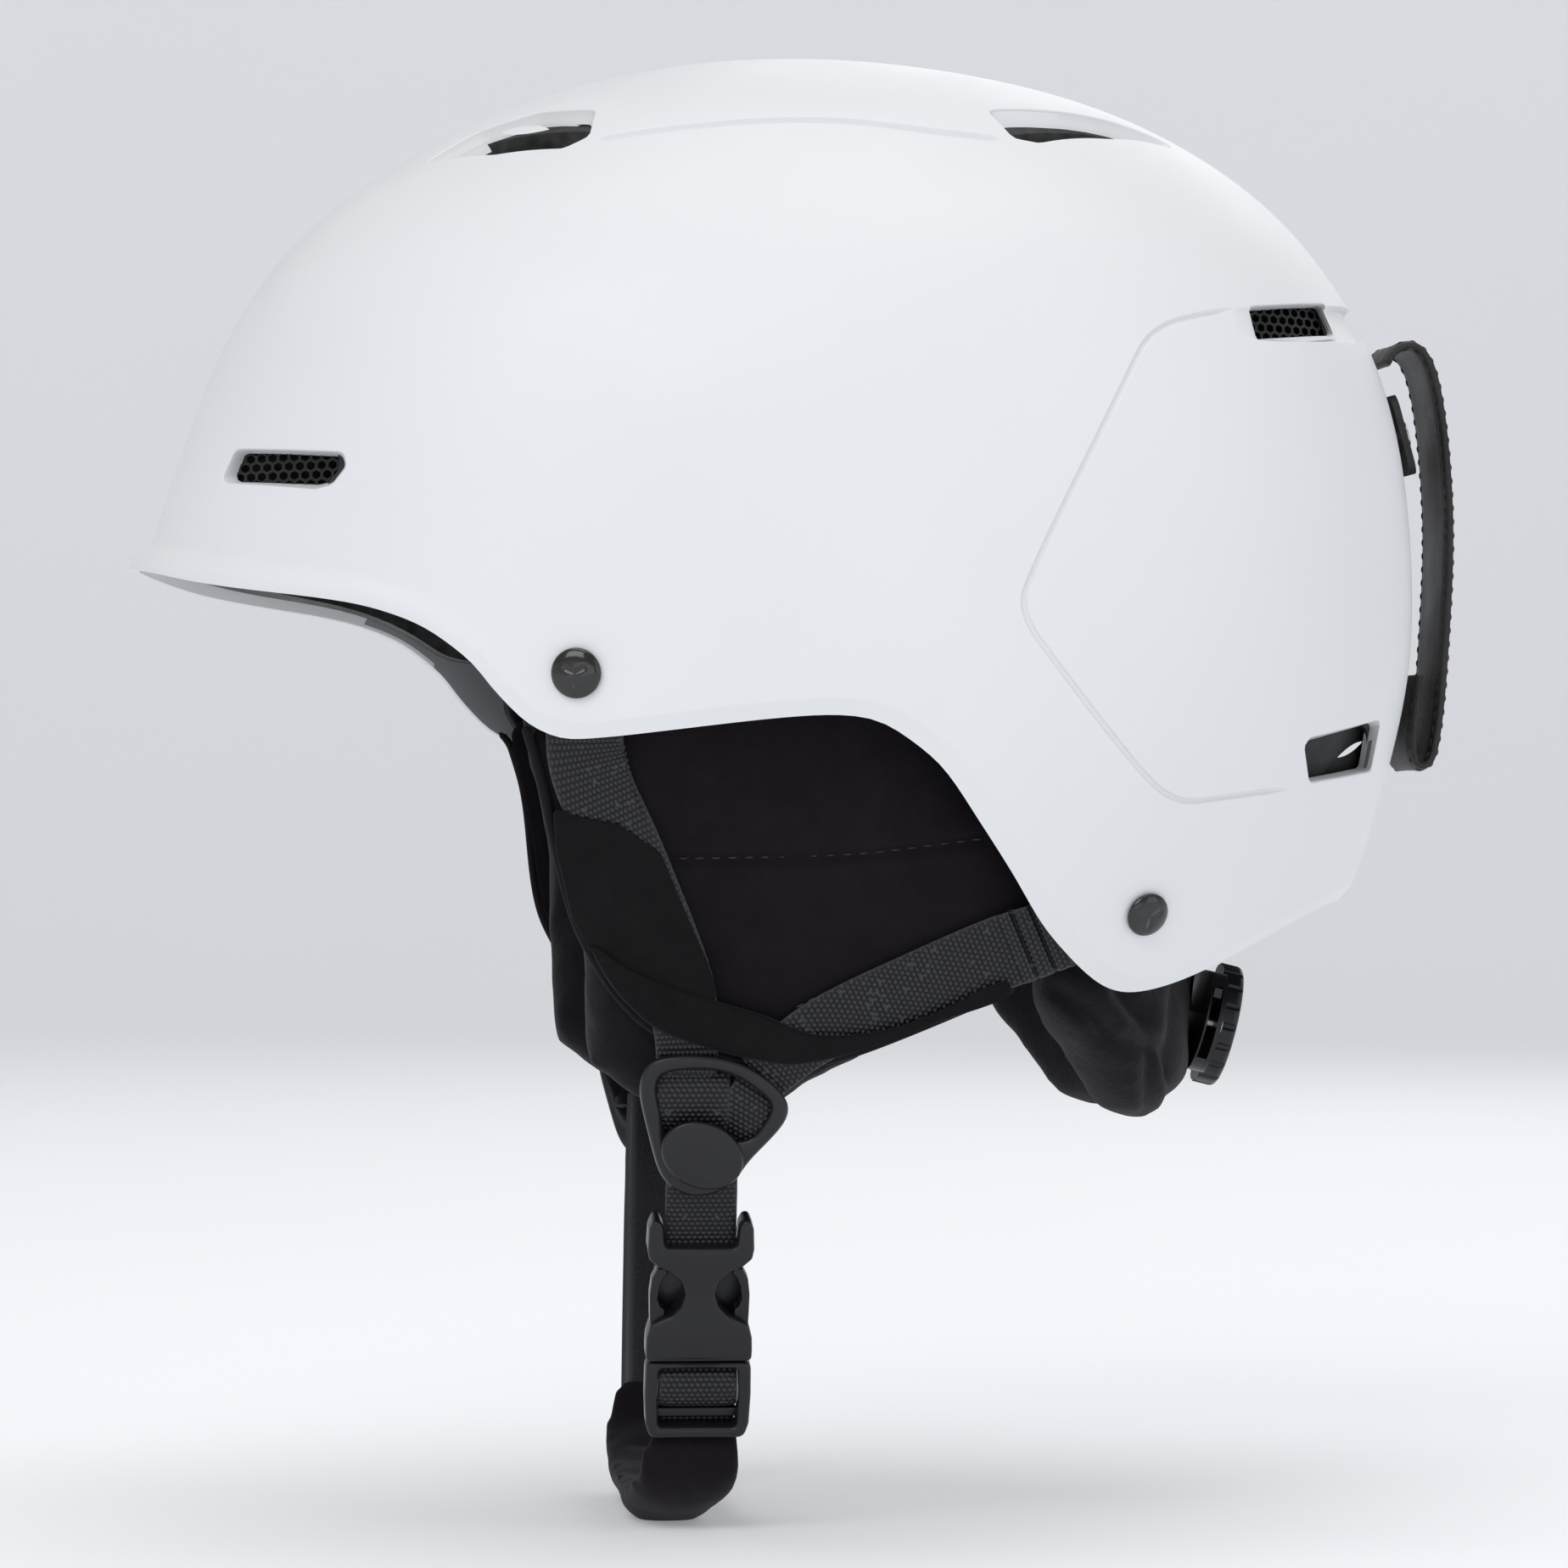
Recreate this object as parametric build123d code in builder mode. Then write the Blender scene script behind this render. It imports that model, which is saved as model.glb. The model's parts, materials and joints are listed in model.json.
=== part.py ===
from build123d import *
import os
from math import cos, hypot, pi, radians, sin

# Ski helmet: hard shell, foam liner, dial-adjusted nape cradle, ear pads and chin strap.
# Frame: millimetres, +X towards the back of the head, +Y towards the wearer's right, +Z up.
# The origin is the centre of the head opening at brow level, where the head carries the helmet.

# ------------------------------------------------------------------ driving dimensions, mm

# Outer surface of the shell: height, front reach, rear reach, half width.
SHELL_STATIONS = [
    (-110, -147, 105.5, 82.5),
    (-95, -147, 112, 88),
    (-61, -147, 125.5, 99),
    (-37, -146, 132.7, 104.5),
    (-14, -144, 137, 107),
    (0, -141.5, 137.4, 107.5),
    (18, -136.2, 136.4, 107),
    (36.8, -129.8, 133.3, 105),
    (55.3, -122, 126.8, 100.5),
    (69.3, -113.3, 118.3, 94.5),
    (83.4, -99.6, 106, 84.5),
    (95, -82.3, 90.5, 72),
    (102.6, -68, 76, 60.5),
    (108.7, -52, 59, 47),
    (113.3, -35, 39, 32),
    (116.2, -17, 18.5, 15.5),
    (117, -7, 8, 6.5),
]
PLAN_POWER_FRONT = 2.15     # superellipse power of each horizontal section, front half
PLAN_POWER_REAR = 2.3
WIDEST_SHIFT = 0.1          # the widest place lies this part of the half length behind the middle
SECTION_POINTS = 28

SHELL_WALL = 2.6
LINER_GAP = 0.3             # assembly gap between neighbouring pieces
LINER_INNER = 27            # shell surface to the liner's inner surface
PAD_OUTER = LINER_INNER + 0.3
PAD_INNER = 32.5

# Lower edge of the shell, seen from the side (X, Z): brim, temple, ear arch, nape lobe.
SHELL_EDGE = [
    (-165, 10), (-144, 6), (-128, 1.4), (-108, -2.1), (-95, -4.4), (-88, -6.5), (-82, -9.2),
    (-77, -12.7), (-72, -17.3), (-69, -21.3), (-64, -27.1), (-60, -30.4), (-55, -32.5), (-51, -32.8),
    (-44, -32.3), (-26.5, -30.3), (-5, -28.1), (6, -28.2), (12, -29.9), (18, -33.7), (24, -38.9),
    (31, -48.5), (40, -61.7), (46, -71), (52, -77.8), (60.6, -84.7), (68.7, -86.1), (81.6, -82.7),
    (98, -75.4), (113.6, -69), (124, -67.5), (160, -67.5),
]
# Lower edge of the liner: it stops higher over the ears, where the ear pads tuck in.
LINER_EDGE = [
    (-165, 12), (-144, 8), (-128, 3.4), (-108, 0), (-95, -2.2), (-86, -5), (-78, -9), (-72, -12.5),
    (-64, -14), (-40, -14), (-10, -14), (8, -14.5), (20, -19), (30, -28), (40, -43), (49, -58),
    (57, -72), (63, -80), (70, -83), (82, -80), (98, -72.8), (113.6, -66.6), (124, -65), (160, -65),
]
EDGE_DEPTH = -135           # bottom of the tool that trims a lower edge
BRIM_LIP = 3.4              # how far the brim's lip stands forward
BRIM_LIP_HEIGHT = 2.3

# Vents. Side outlines are (X, Z), top outlines are (X, Y) on the wearer's left.
VENT_FRONT = [(-122.5, 20.8), (-120.5, 28.6), (-99, 26.6), (-103.5, 20.6)]
VENT_REAR_UPPER = [(91.5, 59), (92.5, 51.5), (110.5, 52.5), (108.5, 61)]
VENT_REAR_LOWER = [(104.5, -34), (105.5, -41), (120.5, -38.5), (120.5, -30)]
VENT_TOP_FRONT = [(-79, -33), (-68, -32), (-46, -51), (-48.5, -58.5), (-64, -49)]
VENT_TOP_REAR = [(40.5, -65), (43.5, -70), (62, -59.5), (77, -45), (73, -42), (54, -56)]
VENT_CORNER = 1.6
MESH_THICK = 1.4
MESH_MARGIN = 1.0           # the grille reaches this far behind the shell around its vent

# Strap anchors: a domed rivet through the shell, front and rear, on each side.
ANCHOR_FRONT = Vector(-51.3, -99.4, -19.1)
ANCHOR_FRONT_OUT = Vector(-0.25, -0.966, -0.07)
ANCHOR_REAR = Vector(68.3, -84.8, -68.8)
ANCHOR_REAR_OUT = Vector(0.373, -0.855, -0.36)
CAP_FRONT_R = 5.25
CAP_REAR_R = 4.75
CAP_HEIGHT = 2.2
CAP_LIFT = 0.55             # clears the shell's curve under the cap
RIVET_R = 1.9
RIVET_HOLE_R = 2.1
RIVET_DEPTH = 8

# Webbing and ear pads. The pad's outer face is a plane that leans in towards the chin.
WEB_WIDTH = 16
WEB_THICK = 1.3
WEB_GAP = 0.35              # between a web and the shell or washer it lies against
FACE_Y = -90                # of the pad's outer face at height FACE_Z, on the wearer's left
FACE_Z = -34
FACE_LEAN = 16.7            # degrees
FLAP_THICK = 3.6
CUSHION_THICK = 10.5

# Chin strap and buckle.
BUCKLE_X = -23
BUCKLE_TILT = 16            # degrees, towards the chin
BUCKLE_WIDTH = 22.4
BUCKLE_THICK = 7
SOCKET_LENGTH = 30.5
FRAME_LENGTH = 16.8
SOCKET_WALL = 0.9
ARM_LENGTH = 20.5
BUCKLE_MOUTH_Z = -163.4
CHIN_PAD_WIDTH = 26
CHIN_PAD_THICK = 6.5

# Dial and racks of the fit system.
DIAL_R = 13.5
DIAL_TILT = 14              # degrees, the dial's face looks a little down
DIAL_FACE = Vector(98.75, 0, -95.75)
DIAL_STACK = 9.6            # from the housing's datum to the dial's outer face
PINION_TEETH = 12
PINION_PITCH_R = 4.8
TOOTH_HALF_HEIGHT = 0.45    # above and below the pitch line
TOOTH_TIP = 0.3             # a tooth's half width at its tip
TOOTH_ROOT = 0.7            # a tooth's half width where it starts
RACK_BACK = 7.6             # rack's back, from the dial's axis

# Goggle strap retainer at the back of the shell.
RETAINER_HALF_WIDTH = 16
RETAINER_THICK = 1.8
RETAINER_PATH = [
    (131.9, 50.6), (134, 53.6), (137.4, 54.6), (140.6, 52), (143.2, 44), (145, 30), (145.8, 12),
    (145, -8), (143.8, -24), (142.6, -33), (141.2, -37), (139.2, -38), (137.8, -35.6), (138, -28), (139.4, -18),
]


# ------------------------------------------------------------------ shapes used by many pieces

def inset_profile(profile, inset):
    """Moves a profile of (reach, height) points inwards along its normals."""
    moved = []
    for i, (reach, height) in enumerate(profile):
        before = profile[max(i - 1, 0)]
        after = profile[min(i + 1, len(profile) - 1)]
        run = after[0] - before[0]
        rise = after[1] - before[1]
        size = hypot(run, rise)
        moved.append((reach - inset * rise / size, height + inset * run / size))
    return moved


def reach_at(profile, height):
    """Reach of a profile at a height, along the straight line between its points."""
    for (low_reach, low), (high_reach, high) in zip(profile, profile[1:]):
        if height <= high:
            part = (height - low) / (high - low)
            return low_reach + part * (high_reach - low_reach)
    return profile[-1][0]


def section_points(front, rear, half_width):
    """Points of one horizontal section: an egg-shaped superellipse."""
    half_length = (rear - front) / 2
    widest = (rear + front) / 2 + WIDEST_SHIFT * half_length
    points = []
    for i in range(SECTION_POINTS):
        turn = 2 * pi * i / SECTION_POINTS
        behind = cos(turn) >= 0
        power = 2 / (PLAN_POWER_REAR if behind else PLAN_POWER_FRONT)
        reach = rear - widest if behind else front - widest
        across = half_width if sin(turn) >= 0 else -half_width
        points.append((widest + reach * abs(cos(turn)) ** power, across * abs(sin(turn)) ** power))
    return points


def dome(inset):
    """Solid bounded by the shell's outer surface moved inwards by inset."""
    side = inset_profile([(half, z) for z, _, _, half in SHELL_STATIONS], inset)
    front = inset_profile([(-nose, z) for z, nose, _, _ in SHELL_STATIONS], inset)
    rear = inset_profile([(tail, z) for z, _, tail, _ in SHELL_STATIONS], inset)
    with BuildPart() as body:
        for half_width, height in side:
            with BuildSketch(Plane.XY.offset(height)):
                with BuildLine():
                    outline = section_points(
                        -reach_at(front, height), reach_at(rear, height), half_width)
                    Spline(*outline, periodic=True)
                make_face()
        loft()
    return body.part


def below(edge, lift=0):
    """Everything under a lower edge, right across the helmet."""
    with BuildPart() as tool:
        with BuildSketch(Plane.XZ):
            with BuildLine():
                curve = Spline(*[(x, z + lift) for x, z in edge])
                Polyline(curve @ 1, (edge[-1][0], EDGE_DEPTH), (edge[0][0], EDGE_DEPTH), curve @ 0)
            make_face()
        extrude(amount=150, both=True)
    return tool.part


def side_prism(outline, grow, inner_y, outer_y=130, corner=VENT_CORNER):
    """A prism through both sides of the helmet, from a side outline."""
    with BuildPart() as tool:
        with BuildSketch(Plane.XZ.offset(inner_y)):
            with BuildLine():
                FilletPolyline(*outline, radius=corner, close=True)
            make_face()
            if grow:
                offset(amount=grow)
        extrude(amount=outer_y - inner_y)
        mirror(about=Plane.XZ)
    return tool.part


def top_prism(outline, grow, low_z=40, high_z=125):
    """A prism through the crown on both sides, from a top outline."""
    with BuildPart() as tool:
        with BuildSketch(Plane.XY.offset(low_z)):
            with BuildLine():
                FilletPolyline(*outline, radius=VENT_CORNER, close=True)
            make_face()
            if grow:
                offset(amount=grow)
        extrude(amount=high_z - low_z)
        mirror(about=Plane.XZ)
    return tool.part


def block(low, high):
    """A plain box between two corners."""
    size = Vector(*high) - Vector(*low)
    with BuildPart() as tool:
        with Locations((Vector(*high) + Vector(*low)) * 0.5):
            Box(size.X, size.Y, size.Z)
    return tool.part


def layer(outer_inset, inner_inset, region):
    """The part of a layer between two inset surfaces that lies in a region."""
    with BuildPart() as piece:
        add(dome(outer_inset))
        add(dome(inner_inset), mode=Mode.SUBTRACT)
        add(region, mode=Mode.INTERSECT)
    return piece.part


def ribbon(stations, width, thick):
    """A flat strip through stations of (centre, direction across, direction along)."""
    with BuildPart() as strip:
        for centre, across, along in stations:
            with BuildSketch(Plane(origin=centre, x_dir=across, z_dir=along)):
                Rectangle(width, thick)
        loft(ruled=True)
    return strip.part


def strip(path, thick, half_width):
    """A bent strap: a side path of (X, Z) points given a thickness, centred across the helmet."""
    outer, inner = [], []
    for i, (x, z) in enumerate(path):
        before = path[max(i - 1, 0)]
        after = path[min(i + 1, len(path) - 1)]
        run, rise = after[0] - before[0], after[1] - before[1]
        step = thick / 2 / hypot(run, rise)
        outer.append((x - rise * step, z + run * step))
        inner.append((x + rise * step, z - run * step))
    with BuildPart() as strap:
        with BuildSketch(Plane.XZ):
            with BuildLine():
                Spline(*outer)
                Spline(*inner)
                Line(outer[0], inner[0])
                Line(outer[-1], inner[-1])
            make_face()
        extrude(amount=half_width, both=True)
    return strap.part


def face_plane(lift):
    """Plane of the left ear pad's outer face, lifted outwards."""
    out = Vector(0, -cos(radians(FACE_LEAN)), -sin(radians(FACE_LEAN)))
    return Plane(origin=Vector(0, FACE_Y, FACE_Z) + out * lift, x_dir=(1, 0, 0), z_dir=out)


def on_face(x, z, lift):
    """Point of the left ear pad's outer face at a given X and Z, lifted outwards."""
    plane = face_plane(lift)
    rise = (z - plane.origin.Z) / cos(radians(FACE_LEAN))
    return plane.from_local_coords(Vector(x, rise, 0))


def face_outline(points, lift, thick, corner):
    """A plate on the ear pad's face, from (X, Z) points, grown outwards by thick."""
    plane = face_plane(lift)
    flat = [(x, (z - plane.origin.Z) / cos(radians(FACE_LEAN))) for x, z in points]
    with BuildPart() as plate:
        with BuildSketch(plane):
            with BuildLine():
                FilletPolyline(*flat, radius=corner, close=True)
            make_face()
        extrude(amount=thick)
    return plate.part


def rivet_hole(anchor, out):
    """The hole that an anchor rivet leaves in whatever it passes through."""
    with BuildPart() as hole:
        with BuildSketch(Plane(origin=anchor, z_dir=out)):
            Circle(RIVET_HOLE_R)
        extrude(amount=9, both=True)
    return hole.part


def save(part, name):
    """Labels one finished piece and writes its STEP file."""
    part.label = name
    export_step(part, f"parts/{name}.step")


def save_pair(left, name):
    """Writes a left piece and its mirror image for the wearer's right."""
    with BuildPart() as left_piece:
        add(left)
    with BuildPart() as right_piece:
        add(mirror(left, about=Plane.XZ, mode=Mode.PRIVATE))
    save(left_piece.part, name + "_left")
    save(right_piece.part, name + "_right")


os.makedirs("parts", exist_ok=True)

# Where the retainer's leather tab is riveted to the back of the shell.
TAB_RIVET_Y = 8
TAB_RIVET_R = 1.3
TAB_RIVET_HEAD_R = 2.8
TAB_SIZE = (28, 18)
TAB_THICK = 1.5
TAB_LIFT = 0.7              # gap that clears the shell's curve under the tab
retainer_face = Plane(origin=(134.3, 0, 34.6), x_dir=(0, 1, 0), z_dir=(0.965, 0, 0.262))

# ------------------------------------------------------------------ shell, liner and grilles

shell_solid = dome(0)
shell_cavity = dome(SHELL_WALL)
shell_trim = below(SHELL_EDGE)

with BuildPart() as brim_lip:
    add(shell_solid.moved(Location((-BRIM_LIP, 0, 0))))
    add(below(SHELL_EDGE, BRIM_LIP_HEIGHT), mode=Mode.INTERSECT)
    add(block((-165, -90, -12), (-84, 90, 20)), mode=Mode.INTERSECT)

with BuildPart() as outer_shell:
    add(shell_solid)
    add(brim_lip.part)
    add(shell_cavity, mode=Mode.SUBTRACT)
    add(shell_trim, mode=Mode.SUBTRACT)
    for outline, inner_y in ((VENT_FRONT, 38), (VENT_REAR_UPPER, 34), (VENT_REAR_LOWER, 34)):
        add(side_prism(outline, 0, inner_y), mode=Mode.SUBTRACT)
    for outline in (VENT_TOP_FRONT, VENT_TOP_REAR):
        add(top_prism(outline, 0), mode=Mode.SUBTRACT)
    for anchor, out in ((ANCHOR_FRONT, ANCHOR_FRONT_OUT), (ANCHOR_REAR, ANCHOR_REAR_OUT)):
        hole = rivet_hole(anchor, out)
        add(hole, mode=Mode.SUBTRACT)
        add(mirror(hole, about=Plane.XZ, mode=Mode.PRIVATE), mode=Mode.SUBTRACT)
    with BuildSketch(retainer_face):
        with Locations((-TAB_RIVET_Y, 0), (TAB_RIVET_Y, 0)):
            Circle(TAB_RIVET_R + 0.2)
    extrude(amount=8, both=True, mode=Mode.SUBTRACT)
save(outer_shell.part, "outer_shell")

liner_outer = SHELL_WALL + LINER_GAP
anchor_pockets = [
    block((-64, -120, -40), (-38, -84, -8)),
    block((30, -120, -95), (80, -58, -56)),
]

with BuildPart() as eps_liner:
    add(dome(liner_outer))
    add(dome(LINER_INNER), mode=Mode.SUBTRACT)
    add(below(LINER_EDGE), mode=Mode.SUBTRACT)
    for outline, inner_y in ((VENT_FRONT, 38), (VENT_REAR_UPPER, 34), (VENT_REAR_LOWER, 34)):
        add(side_prism(outline, MESH_MARGIN + LINER_GAP, inner_y), mode=Mode.SUBTRACT)
    for outline in (VENT_TOP_FRONT, VENT_TOP_REAR):
        add(top_prism(outline, 1), mode=Mode.SUBTRACT)
    for pocket in anchor_pockets:
        recess = layer(1, 11, pocket)
        add(recess, mode=Mode.SUBTRACT)
        add(mirror(recess, about=Plane.XZ, mode=Mode.PRIVATE), mode=Mode.SUBTRACT)
    add(block((80, -9, -95), (97.5, 9, -36)), mode=Mode.SUBTRACT)
save(eps_liner.part, "eps_liner")

for name, outline, inner_y in (
        ("vent_mesh_front", VENT_FRONT, 39), ("vent_mesh_rear", VENT_REAR_UPPER, 35)):
    with BuildPart() as grille:
        add(layer(liner_outer, liner_outer + MESH_THICK, side_prism(outline, MESH_MARGIN, inner_y)))
    save(grille.part, name)

# ------------------------------------------------------------------ pads inside the liner

with BuildPart() as crown_region:
    with BuildSketch(Plane.XY.offset(40)):
        with Locations((4, 0)):
            Ellipse(52, 36)
    extrude(amount=80)
save(layer(PAD_OUTER, PAD_INNER, crown_region.part), "crown_pad")
save(layer(PAD_OUTER + 2, PAD_INNER, block((-130, -46, 3), (-60, 46, 24))), "brow_pad")
save(layer(PAD_OUTER, PAD_INNER, block((60, -46, -6), (130, 46, 26))), "rear_pad")
save_pair(layer(PAD_OUTER + 2, PAD_INNER, block((-38, -120, -6), (24, -40, 20))), "temple_pad")

# ------------------------------------------------------------------ fit system

save(layer(PAD_OUTER, PAD_OUTER + 1.4, block((-130, -95, 2), (34, 95, 15))), "fit_band")

dial_axis = Vector(cos(radians(DIAL_TILT)), 0, -sin(radians(DIAL_TILT)))
dial_datum = DIAL_FACE - dial_axis * DIAL_STACK


def dial_plane(height):
    """Plane across the dial's axis at a height above the housing's datum: X right, Y up."""
    return Plane(origin=dial_datum + dial_axis * height, x_dir=(0, 1, 0), z_dir=dial_axis)


HOUSING_LENGTH = 58
HOUSING_HEIGHT = 22
HOUSING_THICK = 2.6
COVER_THICK = 1
CHANNEL_HALF = 8
PIVOT = Vector(92.5, 0, -42)  # the nape cradle swings here
PIVOT_PIN_R = 1.5
STRUT_HALF_WIDTH = 7
YOKE_THICK = 2.2
SCREW_Y = 22                  # cover screws, each side of the dial
SCREW_R = 1.05
SCREW_HEAD_R = 1.9
KNOB_START = 4.8              # height of the knob's back face above the housing's datum
KNOB_GRIPS = 18               # hollows around the knob
NAPE_CENTRE_X = 34.5          # centre of the nape cradle's curve, seen from above
NAPE_R = 53
PAD_THICK = 11

with BuildPart() as nape_yoke:
    with BuildSketch(dial_plane(-YOKE_THICK - 0.1)):
        SlotOverall(HOUSING_LENGTH, HOUSING_HEIGHT)
    extrude(amount=YOKE_THICK)
    with BuildSketch(Plane.XZ):
        with BuildLine():
            Polyline(
                (86.5, -88), (90, -88), (PIVOT.X + 1.8, PIVOT.Z), (PIVOT.X - 1.8, PIVOT.Z), close=True)
        make_face()
    extrude(amount=STRUT_HALF_WIDTH, both=True)
    with BuildSketch(Plane.XZ):
        with Locations((PIVOT.X, PIVOT.Z)):
            Circle(3.6)
    extrude(amount=STRUT_HALF_WIDTH, both=True)
    with BuildSketch(Plane.XZ):
        with Locations((PIVOT.X, PIVOT.Z)):
            Circle(PIVOT_PIN_R + 0.05)
    extrude(amount=20, both=True, mode=Mode.SUBTRACT)
    with BuildSketch(Plane.XY.offset(-100)):
        with Locations((NAPE_CENTRE_X, 0)):
            Circle(NAPE_R + YOKE_THICK)
            Circle(NAPE_R, mode=Mode.SUBTRACT)
        Rectangle(2 * 46, 200, mode=Mode.SUBTRACT)
    extrude(amount=14)
    with BuildSketch(dial_plane(-0.1)):
        Rectangle(90, 34)
    extrude(amount=8, mode=Mode.SUBTRACT)
save(nape_yoke.part, "nape_yoke")

with BuildPart() as yoke_pin:
    with BuildSketch(Plane.XZ):
        with Locations((PIVOT.X, PIVOT.Z)):
            Circle(PIVOT_PIN_R)
    extrude(amount=11, both=True)
save(yoke_pin.part, "yoke_pin")

with BuildPart() as yoke_bracket:
    for y in (-9.4, 9.4):
        with BuildSketch(Plane.XZ.offset(y)):
            with BuildLine():
                Polyline(
                    (PIVOT.X - 3.5, PIVOT.Z + 4), (PIVOT.X - 3.5, PIVOT.Z - 4),
                    (PIVOT.X + 6.2, PIVOT.Z - 4), (PIVOT.X + 6.2, PIVOT.Z + 4), close=True)
            make_face()
            with Locations((PIVOT.X, PIVOT.Z)):
                Circle(PIVOT_PIN_R, mode=Mode.SUBTRACT)
        extrude(amount=1.6, both=True)
    with Locations((PIVOT.X + 7, 0, PIVOT.Z)):
        Box(2, 22, 8)
save(yoke_bracket.part, "yoke_bracket")

NAPE_PAD_SIDE = [
    (44, -86), (50, -95), (57, -101), (66, -109.5), (74, -113.5), (80, -113), (85, -107), (85.5, -88),
]
with BuildPart() as nape_pad:
    with BuildSketch(Plane.XY.offset(-120)):
        with Locations((NAPE_CENTRE_X, 0)):
            Circle(NAPE_R - 0.4)
            Circle(NAPE_R - PAD_THICK, mode=Mode.SUBTRACT)
        Rectangle(2 * 44, 200, mode=Mode.SUBTRACT)
    extrude(amount=40)
    with BuildSketch(Plane.XZ):
        with BuildLine():
            FilletPolyline(*NAPE_PAD_SIDE, radius=3, close=True)
        make_face()
    extrude(amount=80, both=True, mode=Mode.INTERSECT)
    with BuildSketch(dial_plane(-YOKE_THICK - 0.5)):
        Rectangle(120, 80)
    extrude(amount=30, mode=Mode.SUBTRACT)
save(nape_pad.part, "nape_pad")

with BuildPart() as dial_housing:
    with BuildSketch(dial_plane(0)):
        SlotOverall(HOUSING_LENGTH, HOUSING_HEIGHT)
    extrude(amount=HOUSING_THICK)
    with BuildSketch(dial_plane(0.4)):
        Rectangle(HOUSING_LENGTH + 4, 2 * CHANNEL_HALF)
    extrude(amount=4, mode=Mode.SUBTRACT)
save(dial_housing.part, "dial_housing")

with BuildPart() as housing_cover:
    with BuildSketch(dial_plane(HOUSING_THICK + 0.05)):
        SlotOverall(HOUSING_LENGTH, HOUSING_HEIGHT)
        Circle(3.2, mode=Mode.SUBTRACT)
        with Locations((-SCREW_Y, 0), (SCREW_Y, 0)):
            Circle(SCREW_R + 0.05, mode=Mode.SUBTRACT)
    extrude(amount=COVER_THICK)
save(housing_cover.part, "housing_cover")

with BuildPart() as cover_screws:
    with BuildSketch(dial_plane(0.45)):
        with Locations((-SCREW_Y, 0), (SCREW_Y, 0)):
            Circle(SCREW_R)
    extrude(amount=3.25)
    with BuildSketch(dial_plane(3.7)):
        with Locations((-SCREW_Y, 0), (SCREW_Y, 0)):
            Circle(SCREW_HEAD_R)
    extrude(amount=0.9)
save(cover_screws.part, "cover_screws")


def tooth(base_y, tip_y):
    """One blunt tooth, standing from base_y to tip_y about the sketch's Y axis."""
    return [(-TOOTH_ROOT, base_y), (-TOOTH_TIP, tip_y), (TOOTH_TIP, tip_y), (TOOTH_ROOT, base_y)]


PINION_ROOT_R = PINION_PITCH_R - TOOTH_HALF_HEIGHT - 0.25
PINION_TIP_R = PINION_PITCH_R + TOOTH_HALF_HEIGHT
TOOTH_PITCH = 2 * pi * PINION_PITCH_R / PINION_TEETH

with BuildPart() as dial_pinion:
    with BuildSketch(dial_plane(0.5)):
        Circle(PINION_ROOT_R)
        with PolarLocations(0, PINION_TEETH):
            with BuildLine():
                Polyline(*[(y, x) for x, y in tooth(PINION_ROOT_R - 0.4, PINION_TIP_R)], close=True)
            make_face()
    extrude(amount=2)
    with BuildSketch(dial_plane(0.5)):
        Circle(3)
    extrude(amount=4.2)
    with BuildSketch(dial_plane(0.5)):
        Circle(1.2)
    extrude(amount=5, mode=Mode.SUBTRACT)
save(dial_pinion.part, "dial_pinion")

with BuildPart() as band_rack:
    with BuildSketch(dial_plane(0.6)):
        with BuildLine():
            Polyline(
                (-27, RACK_BACK), (7, RACK_BACK), (7, PINION_TIP_R + 0.3), (-27, PINION_TIP_R + 0.3),
                close=True)
        make_face()
        for i in range(-5, 3):
            base_y = PINION_TIP_R + 0.5
            tip_y = PINION_PITCH_R - TOOTH_HALF_HEIGHT
            shift = (i + 0.5) * TOOTH_PITCH
            with BuildLine():
                Polyline(*[(x + shift, y) for x, y in tooth(base_y, tip_y)], close=True)
            make_face()
    extrude(amount=1.7)
save(band_rack.part, "band_rack_left")
with BuildPart() as band_rack_right:
    add(band_rack.part.rotate(Axis(dial_datum, dial_axis), 180))
save(band_rack_right.part, "band_rack_right")

with BuildPart() as dial_knob:
    with BuildSketch(dial_plane(KNOB_START)):
        Circle(DIAL_R)
    extrude(amount=DIAL_STACK - KNOB_START)
    fillet(dial_knob.faces().sort_by(Axis(dial_datum, dial_axis))[-1].edges(), 1.4)
    with BuildSketch(dial_plane(KNOB_START)):
        with PolarLocations(DIAL_R + 0.3, KNOB_GRIPS):
            Circle(0.9)
    extrude(amount=6, mode=Mode.SUBTRACT)
    with BuildSketch(dial_plane(KNOB_START)):
        Circle(2.3)
    extrude(amount=2.2, mode=Mode.SUBTRACT)
save(dial_knob.part, "dial_knob")

with BuildPart() as dial_screw:
    with BuildSketch(dial_plane(0.7)):
        Circle(1.15)
    extrude(amount=4)
    with BuildSketch(dial_plane(4.85)):
        Circle(2.2)
    extrude(amount=1.9)
    with BuildSketch(dial_plane(4.6)):
        Circle(1.15)
    extrude(amount=0.4)
save(dial_screw.part, "dial_screw")

# Side straps run from the temples down to the nape cradle, just outside its wings.
side_strap = ribbon(
    [
        (Vector(22, -72, 4), Vector(0.35, 0.05, 1), Vector(1, 0.05, -0.3)),
        (Vector(46, -65, -22), Vector(0.7, 0.2, 0.7), Vector(0.7, 0.12, -0.7)),
        (Vector(57, -52, -62), Vector(0.85, 0.35, 0.3), Vector(0.25, 0.15, -1)),
        (Vector(60.5, -50.1, -92), Vector(0.87, 0.48, 0), Vector(0.05, 0.02, -1)),
    ],
    width=10, thick=1.2)
save_pair(side_strap, "side_strap")

# ------------------------------------------------------------------ strap anchors

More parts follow.
